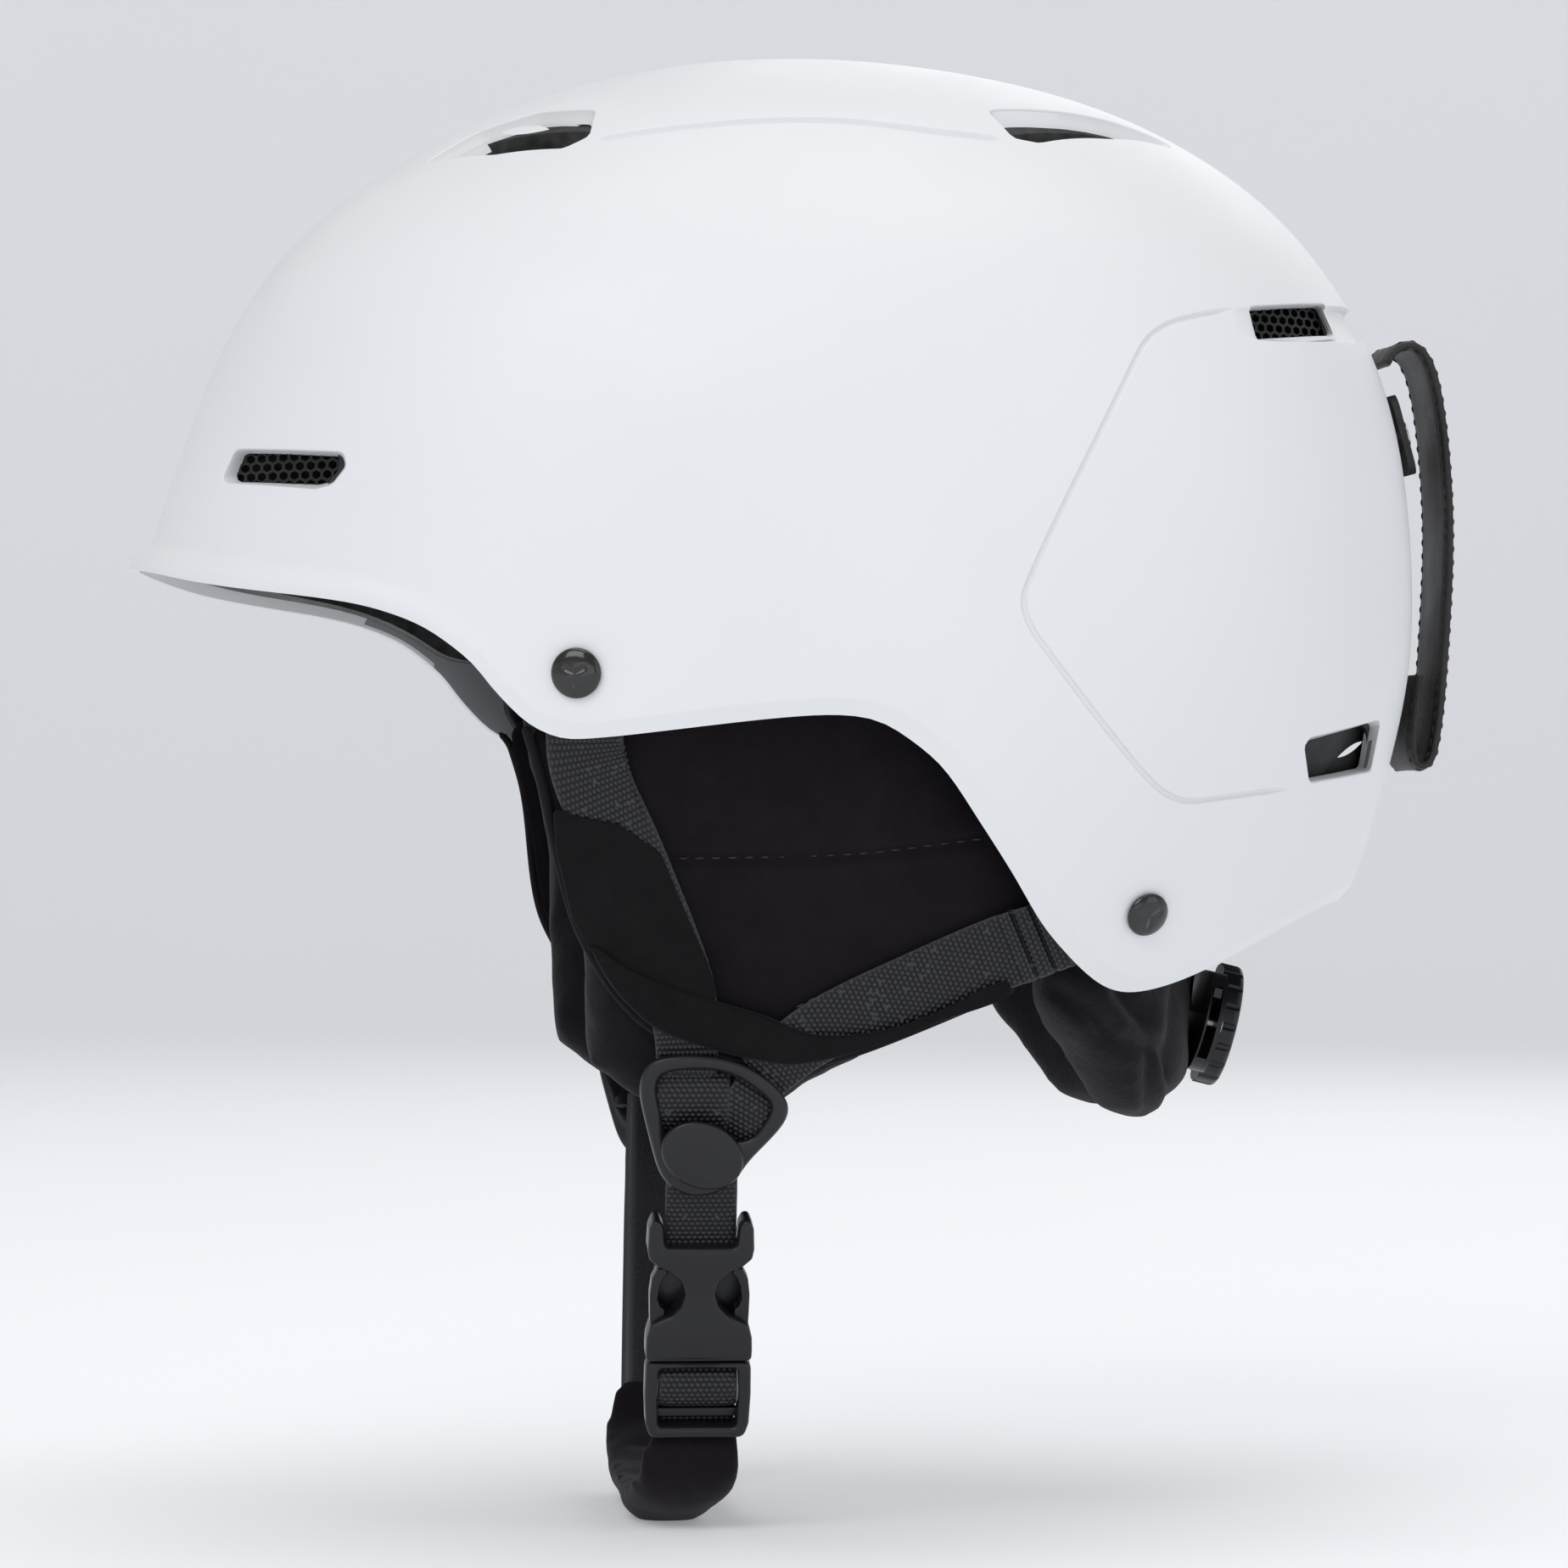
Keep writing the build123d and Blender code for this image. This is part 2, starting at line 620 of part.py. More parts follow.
for name, anchor, out, cap_r in (
        ("anchor_rivets_front", ANCHOR_FRONT, ANCHOR_FRONT_OUT, CAP_FRONT_R),
        ("anchor_rivets_rear", ANCHOR_REAR, ANCHOR_REAR_OUT, CAP_REAR_R)):
    face = Plane(origin=anchor, z_dir=out)
    with BuildPart() as rivets:
        with BuildSketch(face.offset(CAP_LIFT)):
            Circle(cap_r)
        extrude(amount=CAP_HEIGHT)
        fillet(rivets.faces().sort_by(Axis(anchor, out))[-1].edges(), CAP_HEIGHT - 0.4)
        with BuildSketch(face.offset(CAP_LIFT)):
            Circle(RIVET_R)
        extrude(amount=-RIVET_DEPTH)
        mirror(about=Plane.XZ)
    save(rivets.part, name)

WASHER_LIFT = -(SHELL_WALL + 2 * WEB_GAP + WEB_THICK)
with BuildPart() as anchor_washers:
    for anchor, out in ((ANCHOR_FRONT, ANCHOR_FRONT_OUT), (ANCHOR_REAR, ANCHOR_REAR_OUT)):
        with BuildSketch(Plane(origin=anchor, z_dir=out).offset(WASHER_LIFT)):
            Circle(5)
            Circle(RIVET_HOLE_R, mode=Mode.SUBTRACT)
        extrude(amount=-1.2)
    mirror(about=Plane.XZ)
save(anchor_washers.part, "anchor_washers")

# ------------------------------------------------------------------ ear pads

EAR_FLAP = [
    (-59.5, -31), (-45, -22), (8, -20), (19, -25), (29, -38), (39, -54), (46, -66), (46.5, -78),
    (40, -84), (22, -92.5), (6, -98.5), (-12, -98), (-33, -90), (-43, -80), (-49, -69), (-53, -55),
]
EAR_CUSHION = [
    (-59, -31), (-53, -19.5), (9, -18.5), (20, -24), (30, -37), (40, -53), (46, -65), (46.5, -78.5),
    (41, -85), (24, -93.5), (7.5, -102), (-6, -109.5), (-18, -111), (-38, -107.5), (-47, -101),
    (-49.5, -95), (-52, -62),
]
save_pair(face_outline(EAR_FLAP, -FLAP_THICK, FLAP_THICK, 3), "ear_flap")
save_pair(
    face_outline(EAR_CUSHION, -FLAP_THICK - 0.3 - CUSHION_THICK, CUSHION_THICK, 4), "ear_cushion")

# ------------------------------------------------------------------ harness webbing

face_out = face_plane(0).z_dir
STRAP_LIFT = 1.0


def in_plane(direction, out):
    """A direction laid into the plane whose normal is out."""
    flat = direction - out * direction.dot(out)
    return flat.normalized()


def web_ribbon(stations):
    """Webbing through stations of (centre, direction, outward normal, width)."""
    with BuildPart() as strip:
        for centre, direction, out, width in stations:
            along = in_plane(direction, out)
            with BuildSketch(Plane(origin=centre, x_dir=along.cross(out), z_dir=along)):
                Rectangle(width, WEB_THICK)
        loft(ruled=True)
    return strip.part


front_under = ANCHOR_FRONT - ANCHOR_FRONT_OUT * (SHELL_WALL + WEB_GAP + WEB_THICK / 2)
front_down = in_plane(Vector(0.1, 0, -1), ANCHOR_FRONT_OUT)
with BuildPart() as front_strap:
    add(web_ribbon([
        (front_under - front_down * 7, front_down, ANCHOR_FRONT_OUT, WEB_WIDTH),
        (front_under + front_down * 8, front_down, ANCHOR_FRONT_OUT, WEB_WIDTH),
        (on_face(-49.2, -36, STRAP_LIFT + 1.2), Vector(0.3, 0, -1), face_out, WEB_WIDTH),
        (on_face(-27.5, -84, STRAP_LIFT), Vector(0.3, 0, -1), face_out, WEB_WIDTH),
        (on_face(-27.2, -105, STRAP_LIFT), Vector(0, 0, -1), face_out, 12.5),
    ]))
    add(rivet_hole(ANCHOR_FRONT, ANCHOR_FRONT_OUT), mode=Mode.SUBTRACT)
save_pair(front_strap.part, "front_strap")

rear_under = ANCHOR_REAR - ANCHOR_REAR_OUT * (SHELL_WALL + WEB_GAP + WEB_THICK / 2)
rear_run = in_plane(Vector(-1, -0.2, -0.3), ANCHOR_REAR_OUT)
with BuildPart() as rear_strap:
    add(web_ribbon([
        (rear_under - rear_run * 7, rear_run, ANCHOR_REAR_OUT, WEB_WIDTH),
        (rear_under + rear_run * 7, rear_run, ANCHOR_REAR_OUT, WEB_WIDTH),
        (on_face(44, -74.5, STRAP_LIFT + 0.6), Vector(-0.88, 0, -0.47), face_out, WEB_WIDTH),
        (on_face(1, -94.5, STRAP_LIFT), Vector(-0.88, 0, -0.47), face_out, WEB_WIDTH),
        (on_face(-13, -106, STRAP_LIFT), Vector(-0.45, 0, -0.88), face_out, 12),
    ]))
    add(rivet_hole(ANCHOR_REAR, ANCHOR_REAR_OUT), mode=Mode.SUBTRACT)
save_pair(rear_strap.part, "rear_strap")

STRAP_KEEPER = [
    (-46.5, -76.5), (-43, -75), (-29, -82), (-11, -88.5), (2.5, -95), (-2, -100), (-19.5, -96), (-35.5, -88),
]
save_pair(face_outline(STRAP_KEEPER, STRAP_LIFT + 1, 1.3, 0.8), "strap_keeper")

DIVIDER_OUTLINE = [
    (-36, -104), (-33.5, -99.5), (-27, -98.3), (-18, -99), (-10, -103.3), (-5.8, -109.5), (-9, -116.5),
    (-15, -125), (-23.4, -128.5), (-31, -125.5), (-34, -116),
]
DIVIDER_WINDOW = [
    (-32.6, -104.6), (-30.6, -102), (-19, -102.4), (-12.5, -106), (-9.8, -110), (-13, -114), (-31.2, -114),
]
CAP_CENTRE = (-23.4, -120)
with BuildPart() as strap_divider:
    add(face_outline(DIVIDER_OUTLINE, STRAP_LIFT + 1, 3, 1.8))
    add(face_outline(DIVIDER_WINDOW, STRAP_LIFT, 6, 1), mode=Mode.SUBTRACT)
save_pair(strap_divider.part, "strap_divider")

with BuildPart() as divider_cap:
    with BuildSketch(Plane(origin=on_face(*CAP_CENTRE, STRAP_LIFT + 4.2), z_dir=face_out)):
        Circle(9)
    extrude(amount=2.4)
    fillet(divider_cap.faces().sort_by(Axis(on_face(*CAP_CENTRE, 0), face_out))[-1].edges(), 0.8)
save_pair(divider_cap.part, "divider_cap")

# ------------------------------------------------------------------ buckle and chin strap

buckle_out = Vector(0, -cos(radians(BUCKLE_TILT)), -sin(radians(BUCKLE_TILT)))
buckle_up = Vector(0, -sin(radians(BUCKLE_TILT)), cos(radians(BUCKLE_TILT)))
web_foot = on_face(BUCKLE_X, -128, STRAP_LIFT)
mouth_drop = (web_foot.Z - BUCKLE_MOUTH_Z) / cos(radians(BUCKLE_TILT))
buckle_mouth = web_foot - buckle_up * mouth_drop


def buckle_plane(lift):
    """Plane of the buckle, X across and Y up from the socket's mouth, lifted outwards."""
    return Plane(origin=buckle_mouth + buckle_out * lift, x_dir=(1, 0, 0), z_dir=buckle_out)


def buckle_point(up, lift=0):
    """Point on the buckle's centre line, up from the mouth and lifted outwards."""
    return buckle_mouth + buckle_up * up + buckle_out * lift


half_width = BUCKLE_WIDTH / 2
half_thick = BUCKLE_THICK / 2
with BuildPart() as buckle_socket:
    with BuildSketch(buckle_plane(-half_thick)):
        with Locations((0, SOCKET_LENGTH / 2)):
            Rectangle(BUCKLE_WIDTH, SOCKET_LENGTH)
    extrude(amount=BUCKLE_THICK)
    fillet(buckle_socket.edges().filter_by(Axis((0, 0, 0), buckle_out)), 1.2)
    with BuildSketch(buckle_plane(-half_thick + 1.1)):
        with Locations((0, 11)):
            Rectangle(BUCKLE_WIDTH - 2 * SOCKET_WALL, 24)
    extrude(amount=BUCKLE_THICK - 2.2, mode=Mode.SUBTRACT)
    for side in (-1, 1):
        with BuildSketch(buckle_plane(-half_thick - 1)):
            with Locations((side * half_width, 15)):
                SlotOverall(11, 8.4, rotation=90)
        extrude(amount=BUCKLE_THICK + 2, mode=Mode.SUBTRACT)
    with BuildSketch(buckle_plane(-1.1)):
        with Locations((0, 29)):
            Rectangle(17, 9)
    extrude(amount=2.2, mode=Mode.SUBTRACT)
save(buckle_socket.part, "buckle_socket")

with BuildPart() as buckle_frame:
    with BuildSketch(buckle_plane(-half_thick + 0.6)):
        with Locations((0, -0.3 - FRAME_LENGTH / 2)):
            RectangleRounded(BUCKLE_WIDTH, FRAME_LENGTH, 1.2)
        with Locations((0, -9.6)):
            Rectangle(17.4, 9.4, mode=Mode.SUBTRACT)
    extrude(amount=BUCKLE_THICK - 1.2)
    with BuildSketch(buckle_plane(-1.2)):
        with Locations((0, 6)):
            Rectangle(3.2, 14)
    extrude(amount=2.4)
    with BuildSketch(buckle_plane(-0.9)):
        with Locations((0, -9.6)):
            Rectangle(18.4, 2.4)
    extrude(amount=1.8)
save(buckle_frame.part, "buckle_frame")

for name, side in (("front", -1), ("rear", 1)):
    outline = [
        (side * 6.2, 0), (side * 10, 0), (side * 10, 9), (side * 10.15, 15), (side * 9.4, 18.8),
        (side * 7.6, ARM_LENGTH), (side * 6.4, 19.4), (side * 7.4, 10),
    ]
    with BuildPart() as buckle_arm:
        with BuildSketch(buckle_plane(-1.9)):
            with BuildLine():
                FilletPolyline(*outline, radius=0.4, close=True)
            make_face()
        extrude(amount=3.8)
    save(buckle_arm.part, "buckle_arm_" + name)

down = buckle_up * -1
save(web_ribbon([
    (on_face(BUCKLE_X, -114, STRAP_LIFT), Vector(0, 0, -1), face_out, WEB_WIDTH - 2),
    (web_foot, Vector(0, 0, -1), face_out, WEB_WIDTH - 1),
    (buckle_point(27), down, buckle_out, WEB_WIDTH),
]), "chin_strap_left")

UNDER_FRAME = -half_thick - 0.6
pad_end = buckle_point(-21.5, -0.5)
save(web_ribbon([
    (buckle_point(-5.5, UNDER_FRAME), down, buckle_out, WEB_WIDTH),
    (buckle_point(-17, UNDER_FRAME), down, buckle_out, WEB_WIDTH),
    (buckle_point(-19.4, -2.2), down, buckle_out, WEB_WIDTH),
]), "chin_strap_lower")

CHIN_LOW_Z = -198
chin_x = BUCKLE_X - 2
with BuildPart() as chin_pad:
    with BuildSketch(Plane.YZ.offset(chin_x - CHIN_PAD_WIDTH / 2)):
        with BuildLine():
            ThreePointArc((pad_end.Y, pad_end.Z), (0, CHIN_LOW_Z), (-pad_end.Y, pad_end.Z))
        trace(line_width=CHIN_PAD_THICK)
    extrude(amount=CHIN_PAD_WIDTH)
save(chin_pad.part, "chin_pad")

right_out = Vector(face_out.X, -face_out.Y, face_out.Z)
right_foot = Vector(web_foot.X, -web_foot.Y, web_foot.Z)
right_start = on_face(BUCKLE_X, -114, STRAP_LIFT)
right_end = buckle_point(-20.5)
save(web_ribbon([
    (Vector(right_start.X, -right_start.Y, right_start.Z), Vector(0, 0, -1), right_out, WEB_WIDTH - 2),
    (right_foot, Vector(0, 0, -1), right_out, WEB_WIDTH),
    (Vector(chin_x, -right_end.Y, right_end.Z), Vector(0, -0.28, -1), right_out, WEB_WIDTH),
]), "chin_strap_right")

# ------------------------------------------------------------------ goggle strap retainer

save(strip(RETAINER_PATH, RETAINER_THICK, RETAINER_HALF_WIDTH), "retainer_strap")

with BuildPart() as retainer_tab:
    with BuildSketch(retainer_face.offset(TAB_LIFT)):
        RectangleRounded(*TAB_SIZE, 3)
        with Locations((-TAB_RIVET_Y, 0), (TAB_RIVET_Y, 0)):
            Circle(TAB_RIVET_R + 0.2, mode=Mode.SUBTRACT)
    extrude(amount=TAB_THICK)
save(retainer_tab.part, "retainer_tab")

with BuildPart() as tab_rivets:
    with BuildSketch(retainer_face.offset(TAB_LIFT + TAB_THICK + 0.1)):
        with Locations((-TAB_RIVET_Y, 0), (TAB_RIVET_Y, 0)):
            Circle(TAB_RIVET_HEAD_R)
    extrude(amount=0.9)
    with BuildSketch(retainer_face.offset(TAB_LIFT + TAB_THICK + 0.1)):
        with Locations((-TAB_RIVET_Y, 0), (TAB_RIVET_Y, 0)):
            Circle(TAB_RIVET_R)
    extrude(amount=-4.6)
save(tab_rivets.part, "tab_rivets")

STUD_FACE = Plane(origin=(135.0, 0, -28), x_dir=(0, 1, 0), z_dir=(0.985, 0, -0.173))
with BuildPart() as retainer_stud:
    with BuildSketch(STUD_FACE.offset(0.2)):
        Circle(4.5)
    extrude(amount=0.6)
    with BuildSketch(STUD_FACE.offset(0.2)):
        Circle(2)
    extrude(amount=1)
save(retainer_stud.part, "retainer_stud")

with BuildPart() as retainer_snap:
    with BuildSketch(Plane(origin=(139.5, 0, -27.5), x_dir=(0, 1, 0), z_dir=(0.985, 0, -0.173))):
        Circle(5)
    extrude(amount=1.1)
save(retainer_snap.part, "retainer_snap")
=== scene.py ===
"""Looks of the ski helmet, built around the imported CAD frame.

Lengths are in millimetres in the row frame (+X back of the head, +Y wearer's right, +Z up) and are
turned into metres by make(). Soft goods, webbing, shell and grilles are remade here; hard parts whose
CAD shape is right keep it and get a material.
"""
import json
import math
import random

import bmesh
import bpy
import numpy as np
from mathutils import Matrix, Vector

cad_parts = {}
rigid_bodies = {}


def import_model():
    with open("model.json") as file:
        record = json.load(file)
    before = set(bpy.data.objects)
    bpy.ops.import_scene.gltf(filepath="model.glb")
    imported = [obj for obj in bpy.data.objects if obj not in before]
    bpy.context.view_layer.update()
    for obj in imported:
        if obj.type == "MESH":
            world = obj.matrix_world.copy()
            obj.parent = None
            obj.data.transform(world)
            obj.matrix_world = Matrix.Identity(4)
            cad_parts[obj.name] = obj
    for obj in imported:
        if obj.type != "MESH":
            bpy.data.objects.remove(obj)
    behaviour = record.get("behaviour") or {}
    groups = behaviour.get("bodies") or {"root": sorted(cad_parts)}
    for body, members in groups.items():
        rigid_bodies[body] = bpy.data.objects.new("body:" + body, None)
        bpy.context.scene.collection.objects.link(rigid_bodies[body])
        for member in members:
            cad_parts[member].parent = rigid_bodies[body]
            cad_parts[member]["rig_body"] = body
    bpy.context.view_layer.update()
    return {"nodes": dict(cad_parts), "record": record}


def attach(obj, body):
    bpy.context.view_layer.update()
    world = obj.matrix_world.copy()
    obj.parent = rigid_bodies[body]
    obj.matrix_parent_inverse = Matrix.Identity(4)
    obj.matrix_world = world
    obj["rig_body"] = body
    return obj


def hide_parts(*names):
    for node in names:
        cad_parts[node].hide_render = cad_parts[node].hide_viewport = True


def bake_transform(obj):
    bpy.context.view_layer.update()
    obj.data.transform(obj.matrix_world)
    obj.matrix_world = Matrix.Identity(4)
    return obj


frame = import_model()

MM = 0.001
LEFT = -1           # the wearer's left is on the -Y side, towards the camera
RIGHT = 1

# ------------------------------------------------------------------ small helpers


def unit(vectors):
    """Vectors scaled to length one, along the last axis."""
    vectors = np.asarray(vectors, float)
    return vectors / np.maximum(np.linalg.norm(vectors, axis=-1, keepdims=True), 1e-12)


def natural_spline(knots, values):
    """A natural cubic spline through values at knots: returns a function of the parameter."""
    knots = np.asarray(knots, float)
    values = np.asarray(values, float)
    flat = values.reshape(len(knots), -1)
    gap = np.diff(knots)
    count = len(knots)
    system = np.eye(count)
    right = np.zeros_like(flat)
    for i in range(1, count - 1):
        system[i, i - 1] = gap[i - 1]
        system[i, i] = 2 * (gap[i - 1] + gap[i])
        system[i, i + 1] = gap[i]
        right[i] = 6 * ((flat[i + 1] - flat[i]) / gap[i] - (flat[i] - flat[i - 1]) / gap[i - 1])
    bend = np.linalg.solve(system, right)

    def at(t):
        t = np.clip(np.asarray(t, float), knots[0], knots[-1])
        i = np.clip(np.searchsorted(knots, t) - 1, 0, count - 2)
        h = gap[i][..., None]
        a = (knots[i + 1] - t)[..., None] / h
        b = 1 - a
        y = (a * flat[i] + b * flat[i + 1]
             + ((a ** 3 - a) * bend[i] + (b ** 3 - b) * bend[i + 1]) * h * h / 6)
        return y.reshape(t.shape + values.shape[1:])

    return at


def smooth_path(points, count, closed=False):
    """Points evenly spaced along a smooth curve through a few points."""
    points = np.asarray(points, float)
    if closed:
        lap = 3
        points = np.vstack([points[-lap:], points, points[:lap + 1]])
    steps = np.linalg.norm(np.diff(points, axis=0), axis=1)
    along = np.concatenate([[0], np.cumsum(np.sqrt(np.maximum(steps, 1e-6)))])
    curve = natural_spline(along, points)
    start, stop = (along[lap], along[-lap - 1]) if closed else (along[0], along[-1])
    fine = curve(np.linspace(start, stop, 1500))
    length = np.concatenate([[0], np.cumsum(np.linalg.norm(np.diff(fine, axis=0), axis=1))])
    want = np.linspace(0, length[-1], count + 1 if closed else count)
    if closed:
        want = want[:-1]
    return np.stack([np.interp(want, length, fine[:, k]) for k in range(fine.shape[1])], axis=1)


def rounded(points, radius, count):
    """Evenly spaced points on a closed polygon whose corners are rounded by arcs."""
    points = np.asarray(points, float)
    total = len(points)
    radii = np.broadcast_to(radius, (total,))
    outline = []
    for i in range(total):
        here = points[i]
        back = unit(points[i - 1] - here)
        on = unit(points[(i + 1) % total] - here)
        half = math.acos(float(np.clip(back @ on, -1, 1))) / 2
        reach = radii[i] / max(math.tan(half), 1e-3)
        reach = min(reach, 0.48 * np.linalg.norm(points[i - 1] - here),
                    0.48 * np.linalg.norm(points[(i + 1) % total] - here))
        for s in np.linspace(0, 1, 9):
            start, stop = here + back * reach, here + on * reach
            outline.append((1 - s) ** 2 * start + 2 * s * (1 - s) * here + s * s * stop)
    outline = np.array(outline + [outline[0]])
    length = np.concatenate([[0], np.cumsum(np.linalg.norm(np.diff(outline, axis=0), axis=1))])
    want = np.linspace(0, length[-1], count, endpoint=False)
    return np.stack([np.interp(want, length, outline[:, k]) for k in range(points.shape[1])], axis=1)


def round_square(turns, power):
    """Cosine and sine raised to a power: points on a circle that bulges towards a square."""
    c, s = np.cos(turns), np.sin(turns)
    return np.sign(c) * np.abs(c) ** power, np.sign(s) * np.abs(s) ** power


def smoothstep(low, high, value):
    t = np.clip((np.asarray(value, float) - low) / (high - low), 0, 1)
    return t * t * (3 - 2 * t)


def grid_faces(rows, columns, wrap_rows=False, wrap_columns=False):
    """Quads of a grid whose vertices run row by row."""
    faces = []
    for i in range(rows if wrap_rows else rows - 1):
        for j in range(columns if wrap_columns else columns - 1):
            i2, j2 = (i + 1) % rows, (j + 1) % columns
            faces.append((i * columns + j, i * columns + j2, i2 * columns + j2, i2 * columns + j))
    return faces


def tube_mesh(rings):
    """Vertices and faces of closed rings joined in order, capped at both ends."""
    rings = np.asarray(rings, float)
    count, size = rings.shape[:2]
    faces = grid_faces(count, size, wrap_columns=True)
    faces.append(tuple(range(size))[::-1])
    faces.append(tuple((count - 1) * size + k for k in range(size)))
    return rings.reshape(-1, 3), faces


def make(name, vertices, faces, body=None, material=None, smooth=True):
    """A mesh object from vertices in millimetres, riding on a body."""
    mesh = bpy.data.meshes.new(name)
    mesh.from_pydata((np.asarray(vertices, float) * MM).tolist(), [], [tuple(f) for f in faces])
    mesh.validate()
    bm = bmesh.new()
    bm.from_mesh(mesh)
    bmesh.ops.recalc_face_normals(bm, faces=bm.faces)
    bm.to_mesh(mesh)
    bm.free()
    mesh.polygons.foreach_set("use_smooth", [smooth] * len(mesh.polygons))
    piece = bpy.data.objects.new(name, mesh)
    bpy.context.scene.collection.objects.link(piece)
    if material:
        mesh.materials.append(material)
    if body:
        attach(piece, body)
    return piece


def join_meshes(parts):
    """One vertex array and face list from several (vertices, faces) pairs."""
    vertices, faces, offset = [], [], 0
    for part_vertices, part_faces in parts:
        vertices.append(np.asarray(part_vertices, float))
        faces += [tuple(k + offset for k in face) for face in part_faces]
        offset += len(part_vertices)
    return np.vstack(vertices), faces


def apply_modifiers(piece):
    """Replaces a piece's mesh by its evaluated mesh and clears its modifiers."""
    bpy.context.view_layer.update()
    evaluated = piece.evaluated_get(bpy.context.evaluated_depsgraph_get())
    mesh = bpy.data.meshes.new_from_object(evaluated)
    old = piece.data
    piece.modifiers.clear()
    piece.data = mesh
    bpy.data.meshes.remove(old)
    return piece


def add_modifier(piece, kind, **settings):
    modifier = piece.modifiers.new(kind.lower(), kind)
    for key, value in settings.items():
        setattr(modifier, key, value)
    return modifier


# ------------------------------------------------------------------ camera, light and floor

CAMERA_DISTANCE = 1.5
CAMERA_AZIMUTH = math.radians(-5)
CAMERA_HEIGHT = -0.0419
FRAME_WIDTH = 1848 / 5350           # metres across the picture at the target


def add_camera():
    """The photo's view: from the wearer's left, a little ahead of square on."""
    data = bpy.data.cameras.new("camera")
    data.sensor_width = 36
    data.lens = 36 * CAMERA_DISTANCE / FRAME_WIDTH
    camera = bpy.data.objects.new("camera", data)
    place = Vector((math.sin(CAMERA_AZIMUTH), -math.cos(CAMERA_AZIMUTH), 0)) * CAMERA_DISTANCE
    target = Vector((0, 0, CAMERA_HEIGHT))
    camera.location = place + target
    camera.rotation_euler = (-place).to_track_quat("-Z", "Y").to_euler()
    bpy.context.scene.collection.objects.link(camera)
    bpy.context.scene.camera = camera


def add_light(name, location, target, size, power):
    data = bpy.data.lights.new(name, "AREA")
    data.shape = "RECTANGLE"
    data.size, data.size_y = size
    data.energy = power
    lamp = bpy.data.objects.new(name, data)
    lamp.location = location
    lamp.rotation_euler = (Vector(target) - Vector(location)).to_track_quat("-Z", "Y").to_euler()
    bpy.context.scene.collection.objects.link(lamp)


def add_studio():
    """A pale world and five large soft lamps."""
    world = bpy.data.worlds.new("studio")
    world.use_nodes = True
    background = world.node_tree.nodes["Background"]
    background.inputs["Color"].default_value = (0.95, 0.97, 1.0, 1)
    background.inputs["Strength"].default_value = 0.46
    bpy.context.scene.world = world
    add_light("key", (-0.9, -1.7, 1.5), (0, 0, 0), (1.6, 1.2), 17)
    add_light("top", (0.1, -0.1, 1.9), (0, 0, 0), (1.6, 1.6), 12)
    add_light("fill", (1.7, -1.4, 0.5), (0, 0, -0.03), (1.3, 1.6), 4)
    add_light("low", (-0.2, -1.7, -0.05), (0, 0, -0.12), (1.4, 0.5), 1.5)
    add_light("back", (0.8, 1.7, 1.1), (0, 0, 0), (1.5, 1.2), 7)
    bpy.context.scene.view_settings.view_transform = "Standard"


FLAT_RADIUS = 3.2           # metres of flat floor before it curves up
CURVE_RADIUS = 1.2


def add_floor(level):
    """A seamless pale floor that curves up into a round backdrop far behind."""
    profile = [(FLAT_RADIUS, 0)]
    profile += [(FLAT_RADIUS + CURVE_RADIUS * math.sin(a), CURVE_RADIUS * (1 - math.cos(a)))
                for a in np.linspace(0.1, math.pi / 2, 12)]
    columns = 72
    vertices = []
    for radius, height in profile:
        for k in range(columns):
            turn = 2 * math.pi * k / columns
            vertices.append((radius * math.cos(turn), radius * math.sin(turn), level + height))
    faces = grid_faces(len(profile), columns, wrap_columns=True)
    faces.append(tuple(range(columns)))
    floor = make("floor", np.array(vertices) / MM, faces)
    floor.data.materials.append(floor_material())


# ------------------------------------------------------------------ materials

